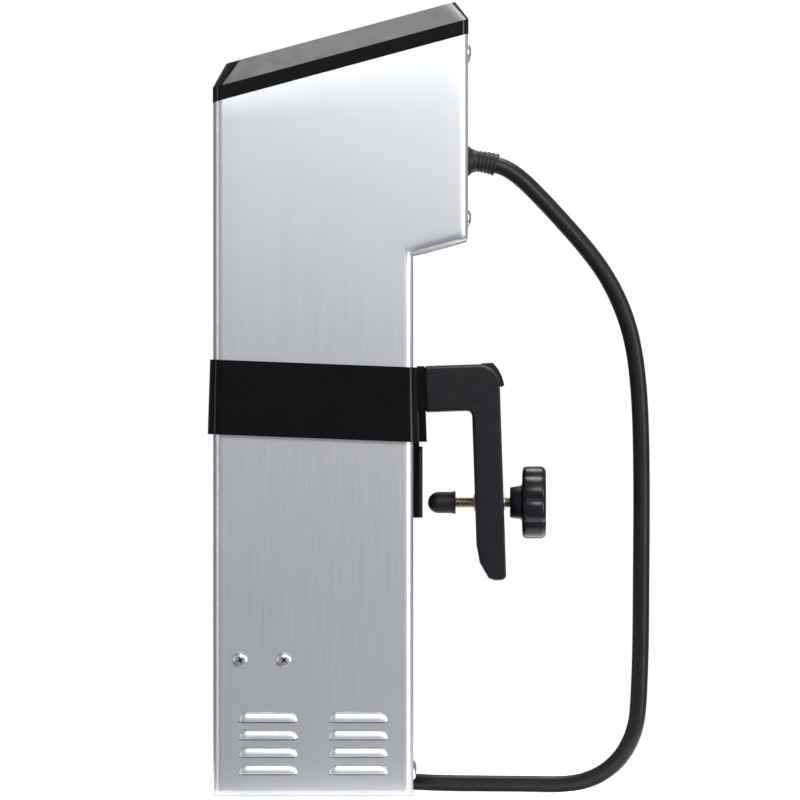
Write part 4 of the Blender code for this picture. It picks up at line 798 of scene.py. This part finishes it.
SCREW_HEAD = 0.0022     # height of a pan head
SCREW_SHANK = 0.0015    # radius
SCREW_LENGTH = 0.006
SHADE_CROSS_PROUD = 0.00004  # the painted-shade cross, dark bars where the recess's shade falls, stands this far out of the head
CROSS_END = 0.46        # half a bar's length, as a share of the head's radius
CROSS_HALF = 0.13       # half a bar's width, as such a share
CROSS_TAPER = 0.7


def pan_screw(seat, axis, radius):
    """Pan head, whose height falls as (1 - (d / radius) ** 2.6) ** (1 / 2.6), and its shank."""
    out = np.sin(np.linspace(0.02, math.pi / 2, 24))
    rise = SCREW_HEAD * np.maximum(0, 1 - out ** 2.6) ** (1 / 2.6)
    under = 0.0002
    shank = [(-under, radius), (-under, SCREW_SHANK), (0.0005 - SCREW_LENGTH, SCREW_SHANK),
             (-SCREW_LENGTH, SCREW_SHANK - 0.0004)]
    return turned([*zip(rise, radius * out), *shank], seat, axis, 40)


def cross_recess(seat, axis, radius, turn):
    """The cross in a pan head, as painted shade: two dark bars with tapered ends, at right angles and turned
    by the angle, where the recess's shade falls.
    """
    side = np.cross(axis, Z)
    up = np.cross(axis, side)
    bars = []
    for angle in (turn, turn + math.pi / 2):
        along = math.cos(angle) * side + math.sin(angle) * up
        across = np.cross(axis, along)
        lengths = CROSS_END * radius * np.array((1, 0.4, -0.4, -1, -1, -0.4, 0.4, 1))
        half = np.array((CROSS_TAPER, 1, 1, CROSS_TAPER))
        widths = CROSS_HALF * radius * np.concatenate([half, -half])
        flat = lengths[:, None] * along + widths[:, None] * across
        levels = (0.5 * SCREW_HEAD, SCREW_HEAD + SHADE_CROSS_PROUD)
        bars.append(skin(np.stack([seat + flat + level * axis for level in levels])))
    return bars


class CIRCULATOR_OT_case_screws(bpy.types.Operator):
    """Pan head screws on the case's sides and back"""
    bl_idname = "circulator.case_screws"
    bl_label = "Case screws"

    def execute(self, context):
        turns = np.radians((28, 52, 12, 71, 35, 5))
        crosses = []
        for group, count in (("side", 4), ("back", 6)):
            nodes = [f"{group}_screw_{number}" for number in range(1, count + 1)]
            screws = []
            for node, turn in zip(nodes, turns):
                low, high = corners(node)
                centre, radius = middle(node), (high[2] - low[2]) / 2
                axis = Y * np.sign(centre[1]) if group == "side" else X
                outer = np.where(axis < 0, -low, high) @ np.abs(axis)
                seat = centre * (1 - np.abs(axis)) + axis * (outer - SCREW_HEAD)
                screws.append(pan_screw(seat, axis, radius))
                crosses += cross_recess(seat, axis, radius, turn)
            add_piece(f"{group}_screws", screws, "bright_steel", "case", nodes)
        # dark bars over every head's cross: painted shade of the recesses
        add_piece("screw_recess_painted_shade", crosses, "painted_recess_shade", "case")
        return {"FINISHED"}


# ---------------------------------------------------------------- cap, collar and clamp
class CIRCULATOR_OT_cap(bpy.types.Operator):
    """Sloped cap"""
    bl_idname = "circulator.cap"
    bl_label = "Cap"

    def execute(self, context):
        softened("cap_cover", "top_cap", 0.0005, "gloss_black", "case")
        return {"FINISHED"}


class CIRCULATOR_OT_clamp(bpy.types.Operator):
    """Collar, its tongue and pad, and the clamp's plate and arm"""
    bl_idname = "circulator.clamp"
    bl_label = "Collar and clamp arm"

    def execute(self, context):
        softened("slide_collar", "collar", 0.0006, "collar_black", "collar")
        plate = softened("arm_plate", "clamp_plate", 0.0004, "collar_black", "collar")
        plate_middle, pad_middle = middle("clamp_plate")[0], middle("jaw_pad")[0]
        move_along_x(plate, lambda x: 0.0006 * np.sign(x - plate_middle))   # up to the collar and to the arm
        pad = softened("jaw_face", "jaw_pad", 0.0004, "rubber_black", "collar")
        move_along_x(pad, lambda x: -0.0004 * (x < pad_middle))             # up to the tongue
        softened("arm_and_leg", "clamp_arm", 0.0005, "satin_black", "collar")
        return {"FINISHED"}


def thread_shape():
    """Clamp screw: the radius at (along, angle) falls by the thread's depth times a rounded triangle wave.

    The wave's phase is along / pitch - angle / (2 pi), so its crests climb one pitch a turn.
    """
    size = sizes()
    low, high = corners("clamp_screw")
    outer = (high[2] - low[2]) / 2
    centre = middle("clamp_screw")
    along = np.arange(0, high[0] - low[0], size.thread_pitch / 9)[:, None]
    angle = around(24)[None]
    phase = (along / size.thread_pitch - angle / (2 * math.pi)) % 1
    wave = np.abs(2 * phase - 1)
    flat_crest, flat_root = 0.12, 0.12
    groove = np.clip((wave - flat_crest) / (1 - flat_crest - flat_root), 0, 1)
    lead_in = 0.0008
    ends = np.clip(np.minimum(along, along[-1] - along) / lead_in, 0, 1)
    radius = outer - size.thread_depth * groove - 0.75 * lead_in * (1 - ends)
    rings = np.stack([low[0] + along + 0 * angle, centre[1] + radius * np.cos(angle),
                      centre[2] + radius * np.sin(angle)], -1)
    return skin(rings)


KNOB_RADIUS = 0.0175
KNOB_HUB = 0.006        # length of the hub in front of the lobes
KNOB_LOBES = 8
LOBE_DIP = 0.09         # share of the radius between two lobes
LOBE_TURN = math.radians(8)


def knob_shape():
    """Lobed knob: radius = profile * (1 - lobed * dip).

    For n lobes, dip = LOBE_DIP * (1 - |sin(n (t - turn) / 2)|) ** 1.6. A point of the profile is its
    place along X, its radius and how far the lobes shape it.
    """
    low, high = corners("clamp_knob")
    centre, start, end = middle("clamp_knob"), low[0], high[0]
    hub = start + KNOB_HUB
    profile = np.array([
        (start, 0.0062, 0), (start, 0.0070, 0), (start + 0.0003, 0.0073, 0), (hub - 0.0014, 0.0080, 0),
        (hub - 0.0006, 0.0083, 0), (hub - 0.0003, 0.0092, 0), (hub - 0.0002, 0.0120, 0.3),
        (hub - 0.0001, 0.0145, 0.75), (hub + 0.0001, 0.0160, 0.95), (hub + 0.0004, 0.0168, 1),
        (hub + 0.0010, 0.01725, 1), (hub + 0.0018, KNOB_RADIUS, 1), ((hub + end) / 2, KNOB_RADIUS, 1),
        (end - 0.0022, KNOB_RADIUS, 1), (end - 0.0013, 0.0172, 1), (end - 0.0006, 0.0166, 1),
        (end - 0.0001, 0.0157, 1), (end, 0.0145, 0.9), (end, 0.0125, 0.4), (end - 0.0002, 0.0110, 0),
        (end - 0.0008, 0.0104, 0), (end - 0.0009, 0.0060, 0), (end - 0.0009, 0.0020, 0)])
    angle = around(16 * KNOB_LOBES)
    dip = LOBE_DIP * (1 - np.abs(np.sin(KNOB_LOBES / 2 * (angle - LOBE_TURN)))) ** 1.6
    radius = profile[:, 1, None] * (1 - profile[:, 2, None] * dip)
    return skin(np.stack([profile[:, 0, None] + 0 * radius, centre[1] - radius * np.cos(angle),
                          centre[2] + radius * np.sin(angle)], -1))


TIP_RADIUS = 0.0051
TIP_SOCKET = 0.0028     # radius of the hole that the screw is pressed into
TIP_SOCKET_DEPTH = 0.0080


def tip_shape():
    """Rubber tip: a quarter ellipse of a dome, a plain barrel, a flared rim and the screw's socket."""
    low, high = corners("screw_tip")
    centre = middle("screw_tip")
    end = high[0] - low[0]
    turns = np.linspace(0.05, math.pi / 2, 14)
    dome = zip(TIP_RADIUS * (1 - np.cos(turns)), TIP_RADIUS * np.sin(turns))
    rim = [(end - 0.0026, TIP_RADIUS), (end - 0.0016, TIP_RADIUS + 0.0001),
           (end - 0.0009, TIP_RADIUS + 0.0003), (end - 0.0003, TIP_RADIUS + 0.0004),
           (end, TIP_RADIUS + 0.0001), (end, TIP_SOCKET + 0.0002)]
    socket = [(end - 0.0002, TIP_SOCKET), (end - TIP_SOCKET_DEPTH, TIP_SOCKET)]
    return turned([*dome, *rim, *socket], centre * [0, 1, 1] + X * low[0], X, 40)


class CIRCULATOR_OT_clamp_screw(bpy.types.Operator):
    """Clamp screw with its knob and rubber tip"""
    bl_idname = "circulator.clamp_screw"
    bl_label = "Clamp screw"

    def execute(self, context):
        add_piece("threaded_screw", [thread_shape()], "thread_steel", "knob", ("clamp_screw",),
                  60)
        add_piece("lobed_knob", [knob_shape()], "satin_black", "knob", ("clamp_knob",))
        add_piece("pressing_tip", [tip_shape()], "rubber_black", "tip", ("screw_tip",))
        return {"FINISHED"}


OWN_FINISH = {"thread_insert": "thread_steel"}      # nodes that look unlike the rest of their slot


class CIRCULATOR_OT_finishes(bpy.types.Operator):
    """Finishes of every piece that keeps the frame's own shape"""
    bl_idname = "circulator.finishes"
    bl_label = "Finishes"

    def execute(self, context):
        FINISHES.update(make_finishes())
        for part in frame["record"]["subparts"]:
            mesh = frame["nodes"][part["node"]].data
            mesh.materials.clear()
            mesh.materials.append(FINISHES[OWN_FINISH.get(part["node"], part["material_slot"])])
        return {"FINISHED"}


# ---------------------------------------------------------------- panel
STEPS = ("stage", "finishes", "cord", "case", "case_screws", "cap", "clamp", "clamp_screw")


class CIRCULATOR_PT_panel(bpy.types.Panel):
    """Sizes, colours and the steps that build the circulator"""
    bl_label = "Sous Vide Circulator"
    bl_idname = "CIRCULATOR_PT_panel"
    bl_space_type = "VIEW_3D"
    bl_region_type = "UI"
    bl_category = "Circulator"

    def draw(self, context):
        for group in (sizes(), colours()):
            box = self.layout.box()
            for name in group.__annotations__:
                box.prop(group, name)
        for step in STEPS:
            self.layout.operator(f"circulator.{step}")


CLASSES = (CirculatorSizes, CirculatorColours, CIRCULATOR_OT_stage, CIRCULATOR_OT_finishes,
           CIRCULATOR_OT_cord, CIRCULATOR_OT_case, CIRCULATOR_OT_case_screws, CIRCULATOR_OT_cap,
           CIRCULATOR_OT_clamp, CIRCULATOR_OT_clamp_screw, CIRCULATOR_PT_panel)


def register():
    for item in CLASSES:
        bpy.utils.register_class(item)
    bpy.types.Scene.circulator_sizes = PointerProperty(type=CirculatorSizes)
    bpy.types.Scene.circulator_colours = PointerProperty(type=CirculatorColours)


def unregister():
    del bpy.types.Scene.circulator_sizes
    del bpy.types.Scene.circulator_colours
    for item in reversed(CLASSES):
        bpy.utils.unregister_class(item)


def main():
    register()
    for step in STEPS:
        getattr(bpy.ops.circulator, step)()


if __name__ == "__main__":
    main()
